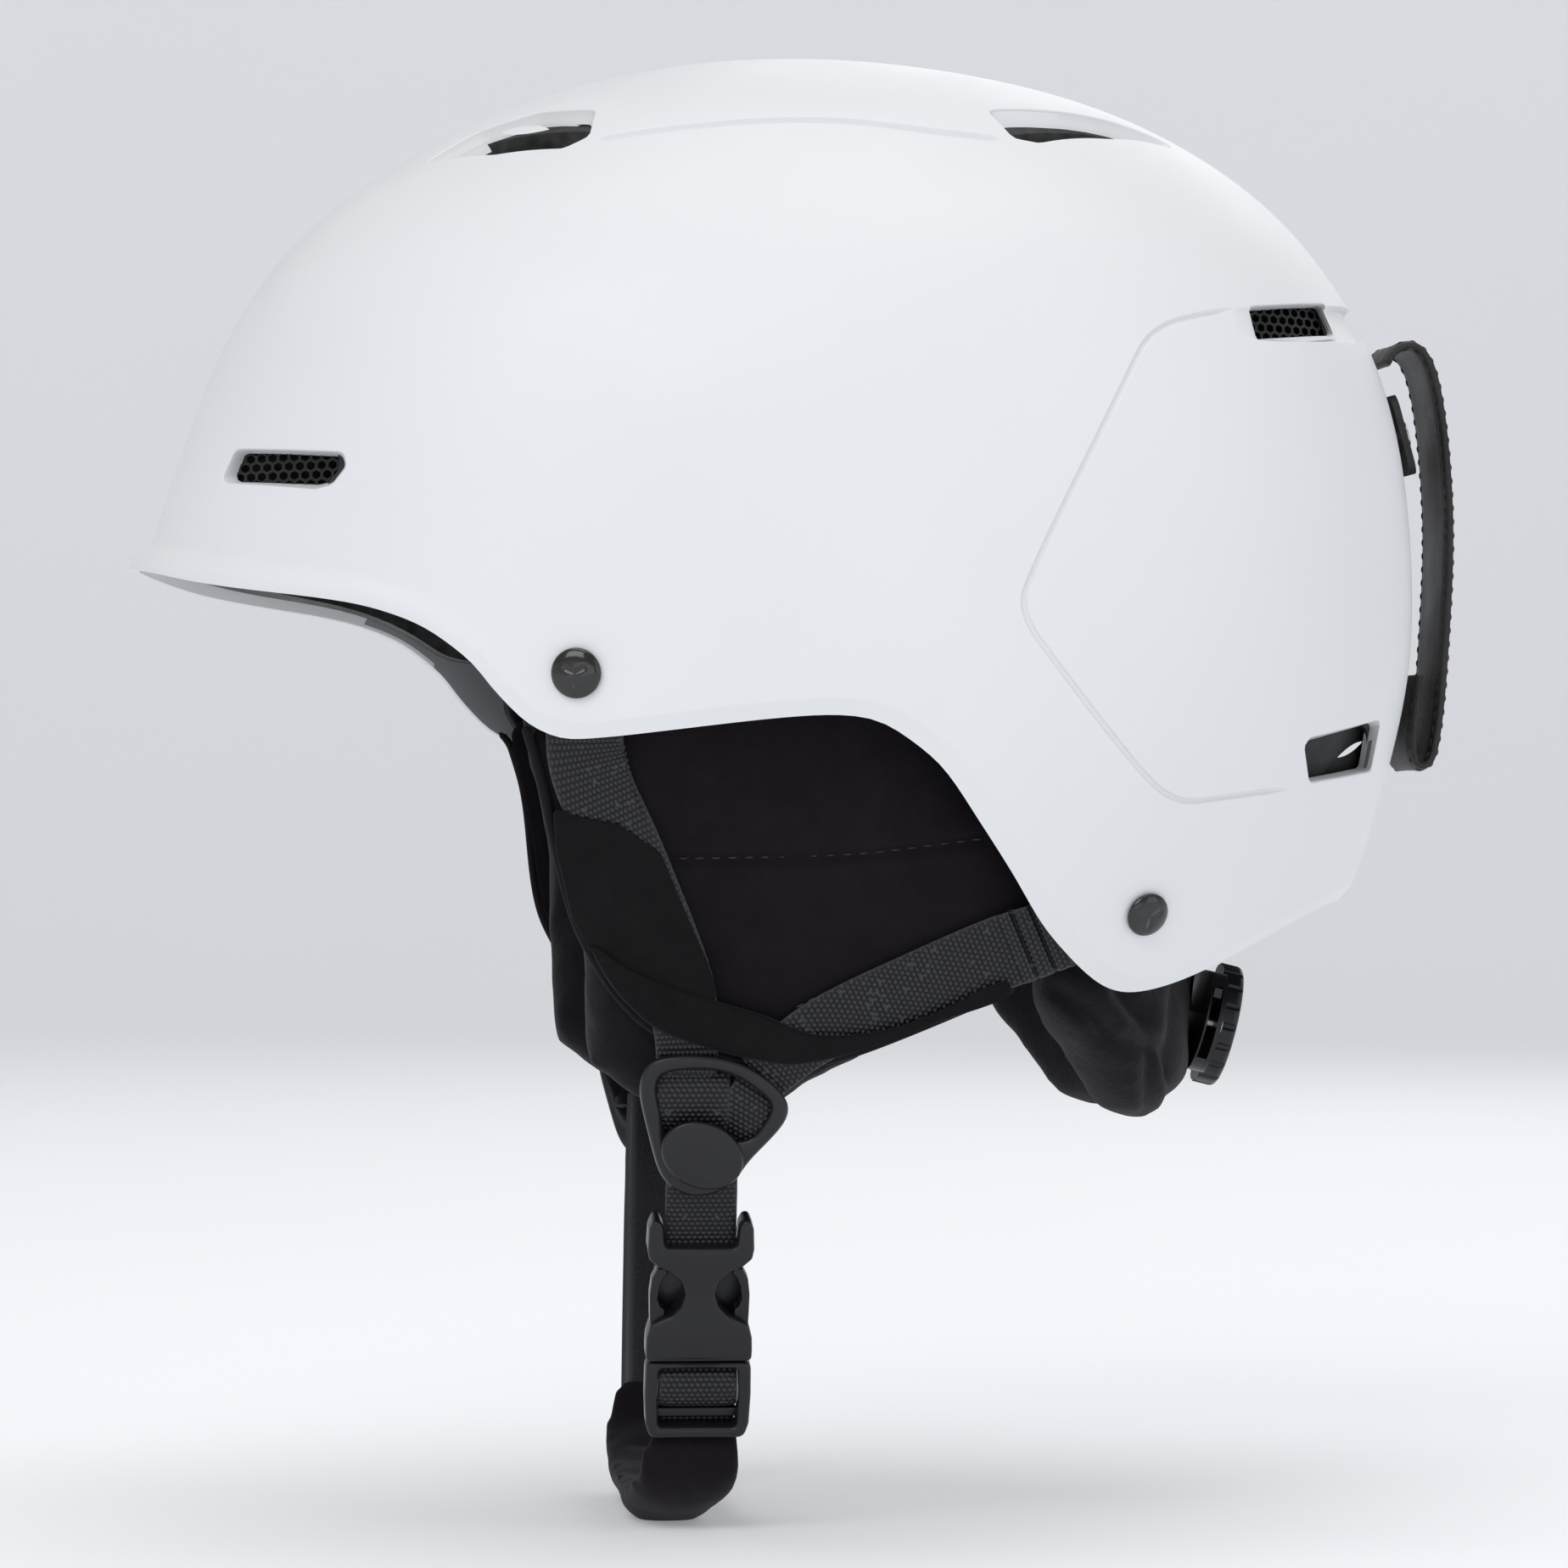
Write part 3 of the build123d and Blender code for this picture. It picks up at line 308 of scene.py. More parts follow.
class Nodes:
    """A short way to wire a procedural material."""

    def __init__(self, name):
        self.material = bpy.data.materials.new(name)
        self.material.use_nodes = True
        self.tree = self.material.node_tree
        self.shader = self.tree.nodes["Principled BSDF"]
        self.place = self.add("ShaderNodeTexCoord").outputs["Object"]

    def add(self, kind, **settings):
        node = self.tree.nodes.new(kind)
        for key, value in settings.items():
            setattr(node, key, value)
        return node

    def link(self, source, target):
        self.tree.links.new(source, target)

    def set(self, **values):
        for key, value in values.items():
            self.shader.inputs[key.replace("_", " ")].default_value = value

    def noise(self, scale, detail=3, roughness=0.5, stretch=None):
        node = self.add("ShaderNodeTexNoise")
        node.inputs["Scale"].default_value = scale
        node.inputs["Detail"].default_value = detail
        node.inputs["Roughness"].default_value = roughness
        place = self.place
        if stretch:
            mapping = self.add("ShaderNodeMapping")
            mapping.inputs["Scale"].default_value = stretch
            self.link(self.place, mapping.inputs["Vector"])
            place = mapping.outputs["Vector"]
        self.link(place, node.inputs["Vector"])
        return node.outputs["Fac"]

    def voronoi(self, scale, feature="F1"):
        node = self.add("ShaderNodeTexVoronoi", feature=feature)
        node.inputs["Scale"].default_value = scale
        self.link(self.place, node.inputs["Vector"])
        return node.outputs["Distance"]

    def ramp(self, source, low, high, start=0.0, stop=1.0):
        """Colour from low to high as source goes from start to stop."""
        node = self.add("ShaderNodeValToRGB")
        first, last = node.color_ramp.elements
        first.position, last.position = start, stop
        first.color = (*low, 1)
        last.color = (*high, 1)
        self.link(source, node.inputs["Fac"])
        return node.outputs["Color"]

    def range(self, source, low, high, start=0.0, stop=1.0):
        node = self.add("ShaderNodeMapRange")
        node.inputs["From Min"].default_value = start
        node.inputs["From Max"].default_value = stop
        node.inputs["To Min"].default_value = low
        node.inputs["To Max"].default_value = high
        self.link(source, node.inputs["Value"])
        return node.outputs["Result"]

    def math(self, operation, a, b=0.0):
        node = self.add("ShaderNodeMath", operation=operation)
        for socket, value in zip(node.inputs, (a, b)):
            if isinstance(value, (int, float)):
                socket.default_value = value
            else:
                self.link(value, socket)
        return node.outputs["Value"]

    def colour(self, source):
        self.link(source, self.shader.inputs["Base Color"])

    def roughness(self, source):
        self.link(source, self.shader.inputs["Roughness"])

    def bump(self, source, strength, distance):
        node = self.add("ShaderNodeBump")
        node.inputs["Strength"].default_value = strength
        node.inputs["Distance"].default_value = distance
        self.link(source, node.inputs["Height"])
        if self.shader.inputs["Normal"].is_linked:
            self.link(self.shader.inputs["Normal"].links[0].from_socket, node.inputs["Normal"])
        self.link(node.outputs["Normal"], self.shader.inputs["Normal"])


def grey(value):
    return (value, value, value)


def tint(colour, factor):
    return tuple(c * factor for c in colour)


def floor_material():
    """Pale paper with a faint mottle."""
    n = Nodes("floor_paper")
    paper = (0.80, 0.81, 0.83)
    n.colour(n.ramp(n.noise(3), tint(paper, 0.99), paper, 0.35, 0.65))
    n.set(Roughness=0.9, Specular_IOR_Level=0.2, Emission_Color=(*paper, 1), Emission_Strength=0.26)
    return n.material


def shell_material():
    """Matt white moulded polycarbonate with a fine spark-eroded grain."""
    n = Nodes("shell_white")
    n.colour(n.ramp(n.noise(9, 4), (0.76, 0.772, 0.785), (0.795, 0.805, 0.815), 0.3, 0.7))
    n.roughness(n.range(n.noise(60, 4), 0.40, 0.50, 0.3, 0.7))
    n.bump(n.noise(2600, 2), 0.06, 0.00006)
    n.set(Specular_IOR_Level=0.42, Coat_Weight=0.06, Coat_Roughness=0.35)
    return n.material


def shell_inside_shade_material():
    """The shell's inside in painted shade: the white plastic coloured dull grey for the shadow it lies in,
    with faint flow marks.
    """
    n = Nodes("shell_inside_painted_shade")
    n.colour(n.ramp(n.noise(14, 4), (0.23, 0.24, 0.255), (0.31, 0.32, 0.335), 0.3, 0.7))
    n.roughness(n.range(n.noise(80), 0.5, 0.65, 0.3, 0.7))
    n.bump(n.noise(900, 2), 0.1, 0.0001)
    return n.material


def foam_material():
    """Black expanded foam: beads pressed together, a little mottled."""
    n = Nodes("bead_foam")
    cells = n.voronoi(330)
    shade = n.math("ADD", n.math("MULTIPLY", cells, 0.7), n.math("MULTIPLY", n.noise(40, 4), 0.5))
    n.colour(n.ramp(shade, (0.012, 0.012, 0.012), (0.040, 0.040, 0.039), 0.25, 0.8))
    n.roughness(n.range(n.noise(70), 0.6, 0.85, 0.3, 0.7))
    n.bump(cells, 0.5, 0.0004)
    n.set(Specular_IOR_Level=0.3)
    return n.material


def moulded_material(name, colour, roughness, grain=1500, strength=0.12, coat=0.0):
    """Dark injection-moulded plastic: fine grain, slight mottle and softened gloss."""
    n = Nodes(name)
    n.colour(n.ramp(n.noise(35, 4), tint(colour, 0.82), tint(colour, 1.16), 0.3, 0.7))
    n.roughness(n.range(n.noise(120, 4), roughness - 0.05, roughness + 0.07, 0.3, 0.7))
    n.bump(n.noise(grain, 2), strength, 0.00008)
    n.set(Specular_IOR_Level=0.4, Coat_Weight=coat, Coat_Roughness=0.12)
    return n.material


def steel_material():
    n = Nodes("plated_steel")
    n.colour(n.ramp(n.noise(200, 3, stretch=(1, 1, 6)), grey(0.42), grey(0.58), 0.3, 0.7))
    n.roughness(n.range(n.noise(300, 2), 0.25, 0.42, 0.3, 0.7))
    n.bump(n.noise(1500, 2), 0.08, 0.00004)
    n.set(Metallic=1.0)
    return n.material


def softshell_material(name, colour):
    """Smooth warp-knit fabric with a slight purple cast: fine knit, soft sheen, faint pilling."""
    n = Nodes(name)
    knit = n.voronoi(2300)
    n.colour(n.ramp(n.math("ADD", n.math("MULTIPLY", n.noise(28, 5), 0.75), n.math("MULTIPLY", knit, 0.35)),
                    tint(colour, 0.75), tint(colour, 1.35), 0.3, 0.85))
    n.roughness(n.range(n.noise(150, 3), 0.80, 0.95, 0.3, 0.7))
    n.bump(knit, 0.35, 0.00012)
    n.bump(n.noise(90, 4), 0.25, 0.0004)
    n.set(Sheen_Weight=0.1, Sheen_Roughness=0.45, Sheen_Tint=(0.72, 0.66, 0.76, 1), Specular_IOR_Level=0.12)
    return n.material


def fleece_material(name, colour):
    """Brushed fleece: short matted pile that catches light at its edges."""
    n = Nodes(name)
    pile = n.noise(1100, 5, 0.7)
    tufts = n.noise(210, 4, 0.65)
    n.colour(n.ramp(n.math("ADD", n.math("MULTIPLY", tufts, 0.6), n.math("MULTIPLY", pile, 0.4)),
                    tint(colour, 0.6), tint(colour, 1.5), 0.3, 0.72))
    n.roughness(n.range(pile, 0.88, 1.0, 0.3, 0.7))
    n.bump(pile, 0.55, 0.0004)
    n.bump(tufts, 0.4, 0.0009)
    n.set(Sheen_Weight=0.16, Sheen_Roughness=0.6, Sheen_Tint=(0.75, 0.72, 0.78, 1), Specular_IOR_Level=0.1)
    return n.material


def webbing_material():
    """Nylon webbing: threads modelled in the mesh, with fine filaments; the colour is lighter on the thread
    crests and darker between threads, a painted highlight and painted shade.
    """
    n = Nodes("nylon_webbing")
    strands = n.noise(2400, 2, 0.5)
    # Pointiness makes the colour lighter on the crests and darker in the hollows: painted highlight and
    # painted shade, mixed with the filament noise.
    painted_crest_light = n.range(n.add("ShaderNodeNewGeometry").outputs["Pointiness"], 0, 1, 0.47, 0.545)
    shade = n.math("ADD", n.math("MULTIPLY", painted_crest_light, 0.75), n.math("MULTIPLY", strands, 0.25))
    n.colour(n.ramp(shade, (0.0022, 0.0022, 0.0029), (0.044, 0.045, 0.053), 0.25, 0.95))
    n.roughness(n.range(strands, 0.27, 0.45, 0.3, 0.7))
    n.bump(strands, 0.3, 0.0001)
    n.set(Sheen_Weight=0.04, Sheen_Roughness=0.4, Sheen_Tint=(0.8, 0.8, 0.9, 1), Specular_IOR_Level=0.26)
    return n.material


def thread_material():
    n = Nodes("sewing_thread")
    twist = n.noise(3000, 2)
    n.colour(n.ramp(twist, (0.016, 0.015, 0.018), (0.045, 0.042, 0.05), 0.3, 0.7))
    n.roughness(n.range(twist, 0.45, 0.65, 0.3, 0.7))
    n.set(Specular_IOR_Level=0.35)
    return n.material


def leather_material():
    """Grained black synthetic leather, rubbed a little smoother in places."""
    n = Nodes("grained_leather")
    grain = n.voronoi(1050, "DISTANCE_TO_EDGE")
    wear = n.noise(45, 4)
    n.colour(n.ramp(wear, (0.010, 0.009, 0.009), (0.032, 0.029, 0.028), 0.3, 0.75))
    n.roughness(n.range(wear, 0.42, 0.62, 0.3, 0.7))
    n.bump(n.range(grain, 0, 1, 0.0, 0.12), 0.5, 0.00015)
    n.bump(n.noise(120, 3), 0.2, 0.0005)
    n.set(Specular_IOR_Level=0.4)
    return n.material


# ------------------------------------------------------------------ the shell's outer surface

CROWN = 117.2
# Height, front reach, rear reach, half width of the outer surface, as in the CAD shell.
STATIONS = np.array([
    (-110, -147, 105.5, 82.5), (-95, -147, 112, 88), (-61, -147, 125.5, 99), (-37, -146, 132.7, 104.5),
    (-14, -144, 137, 107), (0, -141.5, 137.4, 107.5), (18, -136.2, 136.4, 107),
    (36.8, -129.8, 133.3, 105), (55.3, -122, 126.8, 100.5), (69.3, -113.3, 118.3, 94.5),
    (83.4, -99.6, 106, 84.5), (95, -82.3, 90.5, 72), (102.6, -68, 76, 60.5), (108.7, -52, 59, 47),
    (113.3, -35, 39, 32), (116.2, -17, 18.5, 15.5), (CROWN, 0, 0.8, 0),
])
FRONT_POWER, REAR_POWER = 2.15, 2.3
WIDEST_SHIFT = 0.1


def turn_of(height):
    """A parameter that is smooth over the crown: an angle above the brow, a fraction below it."""
    height = np.asarray(height, float)
    return np.where(height > 0, np.arcsin(np.clip(height / CROWN, 0, 1)), height / CROWN)


profile_at = natural_spline(turn_of(STATIONS[:, 0]), STATIONS[:, 1:])


def section(height):
    """Widest X, front length, rear length and half width of the section at a height."""
    front, rear, half = np.moveaxis(profile_at(turn_of(height)), -1, 0)
    widest = (front + rear) / 2 + WIDEST_SHIFT * (rear - front) / 2
    return widest, widest - front, rear - widest, half


def surface(turn, height):
    """Points of the outer surface; turn is 0 at the rear, a quarter turn on the wearer's right."""
    widest, ahead, behind, half = section(height)
    c, s = np.cos(turn), np.sin(turn)
    power = np.where(c >= 0, 2 / REAR_POWER, 2 / FRONT_POWER)
    x = widest + np.where(c >= 0, behind, -ahead) * np.abs(c) ** power
    y = half * np.sign(s) * np.abs(s) ** power
    return np.stack([x, y, np.broadcast_to(height, np.shape(x))], axis=-1)


def level(points):
    """Zero on the outer surface, positive outside."""
    x, y, z = np.moveaxis(np.asarray(points, float), -1, 0)
    widest, ahead, behind, half = section(np.minimum(z, CROWN - 0.01))
    rear_side = x >= widest
    reach = np.maximum(np.where(rear_side, behind, ahead), 0.05)
    power = np.where(rear_side, REAR_POWER, FRONT_POWER)
    return (np.abs(x - widest) / reach) ** power + (np.abs(y) / np.maximum(half, 0.05)) ** power - 1


def slope(points, step=0.05):
    """Gradient of level."""
    points = np.asarray(points, float)
    parts = []
    for k in range(3):
        shift = np.zeros(3)
        shift[k] = step
        parts.append((level(points + shift) - level(points - shift)) / (2 * step))
    return np.stack(parts, axis=-1)


def outward(points):
    """Unit normals of the outer surface; straight up close to the crown."""
    points = np.asarray(points, float)
    normal = unit(slope(points))
    top = smoothstep(CROWN - 0.6, CROWN - 0.05, points[..., 2])[..., None]
    return unit(normal * (1 - top) + np.array([0, 0, 1.0]) * top)


def from_side(points, side=LEFT):
    """Surface points from side-view (X, Z) points."""
    points = np.asarray(points, float)
    x, z = points[..., 0], points[..., 1]
    widest, ahead, behind, half = section(z)
    rear_side = x >= widest
    power = np.where(rear_side, REAR_POWER, FRONT_POWER)
    reach = np.where(rear_side, behind, ahead)
    room = np.clip(1 - (np.abs(x - widest) / reach) ** power, 1e-6, 1)
    return np.stack([x, side * half * room ** (1 / power), z], axis=-1)


def from_top(points):
    """Surface points from top-view (X, Y) points."""
    points = np.asarray(points, float)
    low, high = np.full(len(points), 20.0), np.full(len(points), CROWN)
    for _ in range(40):
        middle = (low + high) / 2
        inside = level(np.column_stack([points, middle])) < 0
        low, high = np.where(inside, middle, low), np.where(inside, high, middle)
    return np.column_stack([points, (low + high) / 2])


# Lower edge of the shell from the side, (X, Z), as in the CAD shell.
EDGE = [
    (-165, 10), (-144, 6), (-128, 1.4), (-108, -2.1), (-95, -4.4), (-88, -6.5), (-82, -9.2),
    (-77, -12.7), (-72, -17.3), (-69, -21.3), (-64, -27.1), (-60, -30.4), (-55, -32.5), (-51, -32.8),
    (-44, -32.3), (-26.5, -30.3), (-5, -28.1), (6, -28.2), (12, -29.9), (18, -33.7), (24, -38.9),
    (31, -48.5), (40, -61.7), (46, -71), (52, -77.8), (60.6, -84.7), (68.7, -86.1), (81.6, -82.7),
    (98, -75.4), (113.6, -69), (124, -67.5), (160, -67.5),
]
edge_curve = smooth_path(EDGE, 900)
for _ in range(3):
    edge_curve[1:-1] = (edge_curve[:-2] + 2 * edge_curve[1:-1] + edge_curve[2:]) / 4


def edge_height(x):
    """Height of the shell's lower edge at X."""
    return np.interp(x, edge_curve[:, 0], edge_curve[:, 1])


COLUMNS = 400
WALL = 2.6
LIP_REACH = 3.5             # the brim's lip stands this far forward
LIP_ZONE = 9.0              # rows stay close together for this far above the bevel
BAND_TOP = 1.04             # the bevel runs out just past its width
INSIDE_RISE = 0.9           # the inner surface starts this far above the edge


def band_width(x):
    """Width of the bevel along the lower edge: slim over the brow, full past the temple."""
    return 1.1 + 2.7 * smoothstep(-84, -56, x)


def build_shell():
    """The closed shell without its vents: bevelled edge, brim lip, outer and inner surface."""
    turns = np.arange(COLUMNS) * 2 * math.pi / COLUMNS
    low = np.zeros(COLUMNS)
    for _ in range(60):
        low = 0.5 * low + 0.5 * edge_height(surface(turns, low)[:, 0])
    foot = surface(turns, low)
    step = 0.5
    steep = (edge_height(foot[:, 0] + step) - edge_height(foot[:, 0] - step)) / (2 * step)
    lean = np.sqrt(1 + np.minimum(np.abs(steep), 2.2) ** 2)
    band = band_width(foot[:, 0])

    def lip_row(rise, inset):
        """A ring at a distance up from the edge, pushed inwards, with the brim's lip swept forward on it."""
        points = surface(turns, low + rise * lean)
        points = points - outward(points) * np.asarray(inset)[..., None]
        points[:, 0] -= lip * np.exp(-(np.maximum(rise - 2.2, 0) / 2.1) ** 2)
        return points

    lip = LIP_REACH * smoothstep(0.35, 0.93, -np.cos(turns)) * (foot[:, 0] < 0)
    rows = [lip_row(INSIDE_RISE, WALL), lip_row(0.25, WALL - 0.25), lip_row(0.0, WALL - 0.75)]
    drop = np.minimum(0.42 * band, 1.55)
    for share, depth in ((0.0, 1.0), (0.1, 0.93), (0.5, 0.5), (0.86, 0.12), (0.95, 0.03), (BAND_TOP, 0.0)):
        rows.append(lip_row(band * share, drop * depth))
    for rise in np.arange(0.4, LIP_ZONE + 0.1, 0.62):
        rows.append(lip_row(band * BAND_TOP + rise, 0.0))
    start = low + (band * BAND_TOP + LIP_ZONE) * lean
    for share in np.linspace(0, 1, 84)[1:-1]:
        angle = share * math.pi / 2
        rows.append(surface(turns, start + (CROWN - start) * math.sin(angle)))
    outer_rows = len(rows)
    outer = np.array(rows)

    inner_rows = []
    for share in np.linspace(0, 1, 40)[:-1]:
        angle = share * math.pi / 2
        foot_height = low + INSIDE_RISE * lean
        points = surface(turns, foot_height + (CROWN - foot_height) * math.sin(angle))
        inner_rows.append(points - outward(points) * WALL)
    inner_rows[0] = rows[0]
    inner = np.array(inner_rows[1:])[::-1]

    vertices = np.vstack([outer.reshape(-1, 3), [[0.4, 0, CROWN]], [[0.4, 0, CROWN - WALL]],
                          inner.reshape(-1, 3)])
    top = outer_rows * COLUMNS
    faces = grid_faces(outer_rows, COLUMNS, wrap_columns=True)
    last = (outer_rows - 1) * COLUMNS
    faces += [(last + k, last + (k + 1) % COLUMNS, top) for k in range(COLUMNS)]
    base = top + 2
    faces += [(base + (k + 1) % COLUMNS, base + k, top + 1) for k in range(COLUMNS)]
    faces += [tuple(base + k for k in face) for face in grid_faces(len(inner), COLUMNS, wrap_columns=True)]
    end = base + (len(inner) - 1) * COLUMNS
    faces += [(end + k, end + (k + 1) % COLUMNS, (k + 1) % COLUMNS, k) for k in range(COLUMNS)]
    return vertices, faces


# ------------------------------------------------------------------ vents and grooves

ABOVE_SURFACE = 1.2         # cutters start this far above the shell
DUCT_START = 1.3            # a duct's lining stays at least this deep
DUCT_WALL = 1.1
SIDEWAYS_FRONT = (0.12, 0.99, 0)
SIDEWAYS_REAR = (-0.12, 0.99, 0)


def surface_frame(points, closed=True):
    """Normals and in-surface sideways directions along a path on the surface."""
    if closed:
        tangent = unit(np.roll(points, -1, axis=0) - np.roll(points, 1, axis=0))
    else:
        tangent = unit(np.gradient(points, axis=0))
    normal = outward(points)
    return normal, unit(np.cross(tangent, normal))


def vent_rings(outer, inner, depth, lip, into):
    """Rings of a vent from above the surface to its floor, with a rounded lip."""
    normal, aside = surface_frame(outer)
    if ((outer - outer.mean(axis=0)) * aside).sum() < 0:
        aside = -aside
    rings = [outer + aside * lip + normal * ABOVE_SURFACE, outer + aside * lip + normal * 0.02]
    for a in np.linspace(0, math.pi / 2, 6)[1:]:
        rings.append(outer + aside * lip * (1 - math.sin(a)) - normal * lip * (1 - math.cos(a)))
    edge = rings[-1]
    foot = inner + into * depth
    for share in (0.3, 0.65, 1.0):
        rings.append(edge + (foot - edge) * share)
    return np.array(rings)


def vent_parts(outer, inner, depth, lip, into, keep):
    """A vent's cutter and the duct that lines it below the shell's wall."""
    into = -unit(outward(outer).mean(axis=0)) if into is None else unit(into)
    rings = vent_rings(outer, inner, depth, lip, into)
    cutter = tube_mesh(np.concatenate([rings, [rings[-1] + into * 4]]))
    middle = rings[-1].mean(axis=0)
    start = rings[-4]
    spread = unit(start - middle - ((start - middle) @ into)[:, None] * into)
    wall = [start + (rings[-1] - start) * share + spread * 0.06 for share in (0.2, 0.5, 1.0)]
    loop = np.array(wall + [ring + spread * DUCT_WALL for ring in wall[::-1]])
    sunk = -level(loop) / np.maximum(np.linalg.norm(slope(loop), axis=-1), 1e-6)
    loop -= outward(loop) * np.maximum(DUCT_START - sunk, 0)[..., None]
    if keep is None:
        duct = loop.reshape(-1, 3), grid_faces(len(loop), loop.shape[1], wrap_rows=True, wrap_columns=True)
        return cutter, duct
    kept = (start - middle) @ np.asarray(keep, float) > -0.5
    first = int(np.flatnonzero(kept & ~np.roll(kept, 1))[0])
    strip = np.roll(loop, -first, axis=1)[:, :int(kept.sum())]
    return cutter, tube_mesh(strip.transpose(1, 0, 2))


def sweep(path, profile, normal, aside):
    """A closed bar along an open path, from its (sideways, outward) profile at each point."""
    return tube_mesh(path[:, None] + aside[:, None] * profile[..., 0:1] + normal[:, None] * profile[..., 1:2])


def groove_profile(half, depth, soft, above=0.8):
    """Cross-section of a groove with rounded shoulders."""
    right = [(half + soft, above), (half + soft, 0.01), (half + soft * 0.4, -depth * 0.12),
             (half, -depth * 0.45), (half * 0.72, -depth * 0.88), (half * 0.4, -depth)]
    left = [(-x, z) for x, z in right[::-1]]
    return np.array(right + left)


def groove(path, half, depth, soft):
    """Cutter for a groove whose ends run out to nothing."""
    normal, aside = surface_frame(path, closed=False)
    span = np.linspace(0, 1, len(path))
    ends = np.minimum(smoothstep(0, 0.03, span), smoothstep(0, 0.03, 1 - span)) * 0.96 + 0.04
    profile = groove_profile(half, depth, soft)
    scale = np.stack([0.35 + 0.65 * ends, ends], axis=-1)[:, None]
    shaped = profile[None] * np.where(profile[None] * [0, 1] > 0, 1, scale)
    return sweep(path, shaped, normal, aside)


def mirror_part(part):
    vertices, faces = part
    return np.asarray(vertices) * [1, -1, 1], [face[::-1] for face in faces]


def both_sides(part):
    """The left part and its mirror image as one mesh."""
    return join_meshes([part, mirror_part(part)])


VENT_COUNT = 72
# Side-view (X, Z) or top-view (X, Y) outlines on the wearer's left: at the surface, and at the vent's foot.
FRONT_VENT = [(-124.2, 22.2), (-121, 29.2), (-98.7, 27.4), (-98, 24.4), (-101, 20.6), (-104.5, 19.8)]
FRONT_VENT_FOOT = [(-121.6, 22.3), (-119.2, 28.3), (-99.5, 26.6), (-99.1, 24.6), (-101.4, 21.5), (-104, 20.9)]
REAR_LOW_VENT = [(103.6, -34), (105, -32.2), (124.6, -28), (122.8, -39.2), (105.4, -41.8)]
REAR_LOW_FOOT = [(104.4, -34.4), (105.6, -33), (122.6, -29), (121.4, -38.4), (105.8, -40.8)]
REAR_WINDOW = [(91.4, 58.6), (92.8, 51.2), (114.2, 53.9), (111.6, 61)]
REAR_WINDOW_FOOT = [(92.2, 57.8), (93.4, 51.8), (113.2, 54.2), (110.8, 60.2)]
TOP_FRONT_VENT = [
    (-80.5, -32.5), (-69, -30.5), (-56, -36.5), (-44.5, -47.5), (-46.5, -58.5), (-52, -59.5),
    (-66, -50), (-76, -39),
]
TOP_FRONT_FOOT = [
    (-77, -35.6), (-68, -34), (-57, -39.4), (-47.6, -49.4), (-48, -57.8), (-52.4, -58.6),
    (-65.6, -49.6), (-75, -39.6),
]
TOP_REAR_VENT = [
    (38, -60), (42.5, -69.5), (48, -69), (64, -57.5), (80, -42), (80, -37.5), (69, -42), (50, -53.5),
]
TOP_REAR_FOOT = [
    (42.5, -62.5), (44.5, -67.5), (49.5, -66.5), (63, -57), (75, -45.5), (74.5, -43), (67, -47.5),
    (52, -57.5),
]
# Each vent: how it is laid on the surface, its outline and corner radius there and at its foot, its
# depth, its lip's radius, the way in (None is square to the surface) and the side on which its duct
# is kept (None is all round).
VENTS = [
    (from_side, FRONT_VENT, 1.6, FRONT_VENT_FOOT, 1.5, 6.0, 0.5, SIDEWAYS_FRONT, None),
    (from_side, REAR_LOW_VENT, 1.3, REAR_LOW_FOOT, 1.2, 8.0, 0.45, SIDEWAYS_REAR, None),
    (from_side, REAR_WINDOW, 1.0, REAR_WINDOW_FOOT, 0.9, 6.5, 0.3, SIDEWAYS_REAR, None),
    (from_top, TOP_FRONT_VENT, 2.2, TOP_FRONT_FOOT, 1.8, 4.6, 0.5, None, (0, 1, 0)),
    (from_top, TOP_REAR_VENT, 2.0, TOP_REAR_FOOT, 1.6, 4.6, 0.5, None, None),
]
CROWN_GROOVE = [(-45.5, -60.8), (-35, -63.2), (-22.5, -65.4), (-5, -67.2), (11, -69), (25, -71), (40.5, -71)]
PANEL_GROOVE = [
    (88.5, 57.9), (78, 55.6), (71.5, 53.4), (67.4, 50.2), (64.6, 45.8), (56, 29.5), (47, 12), (41.6, 0.5),
    (40.2, -4.5), (41.8, -9.5), (46, -15.4), (56.5, -28.4), (66.5, -39.6), (71.2, -43.6), (75.8, -45.4),
    (81.4, -45.2), (90, -44.1), (100.6, -42.8),
]


def shell_tools():
    """Groups of cutters that don't touch each other, and the ducts that stay, for both sides."""
    vents, ducts = [], []
    for lay, outline, corner, foot, foot_corner, depth, lip, into, keep in VENTS:
        outer = lay(rounded(outline, corner, VENT_COUNT))
        inner = lay(rounded(foot, foot_corner, VENT_COUNT))
        cutter, duct = vent_parts(outer, inner, depth, lip, into, keep)
        vents += [cutter, mirror_part(cutter)]
        ducts += [duct, mirror_part(duct)]
    crown = groove(from_top(smooth_path(CROWN_GROOVE, 110)), 1.15, 1.15, 0.4)
    panel = groove(from_side(smooth_path(PANEL_GROOVE, 260)), 0.55, 0.75, 0.3)
    return [vents, [crown, mirror_part(crown)], [rear_channel()], [panel, mirror_part(panel)]], ducts


CHANNEL_DEPTH = 1.9


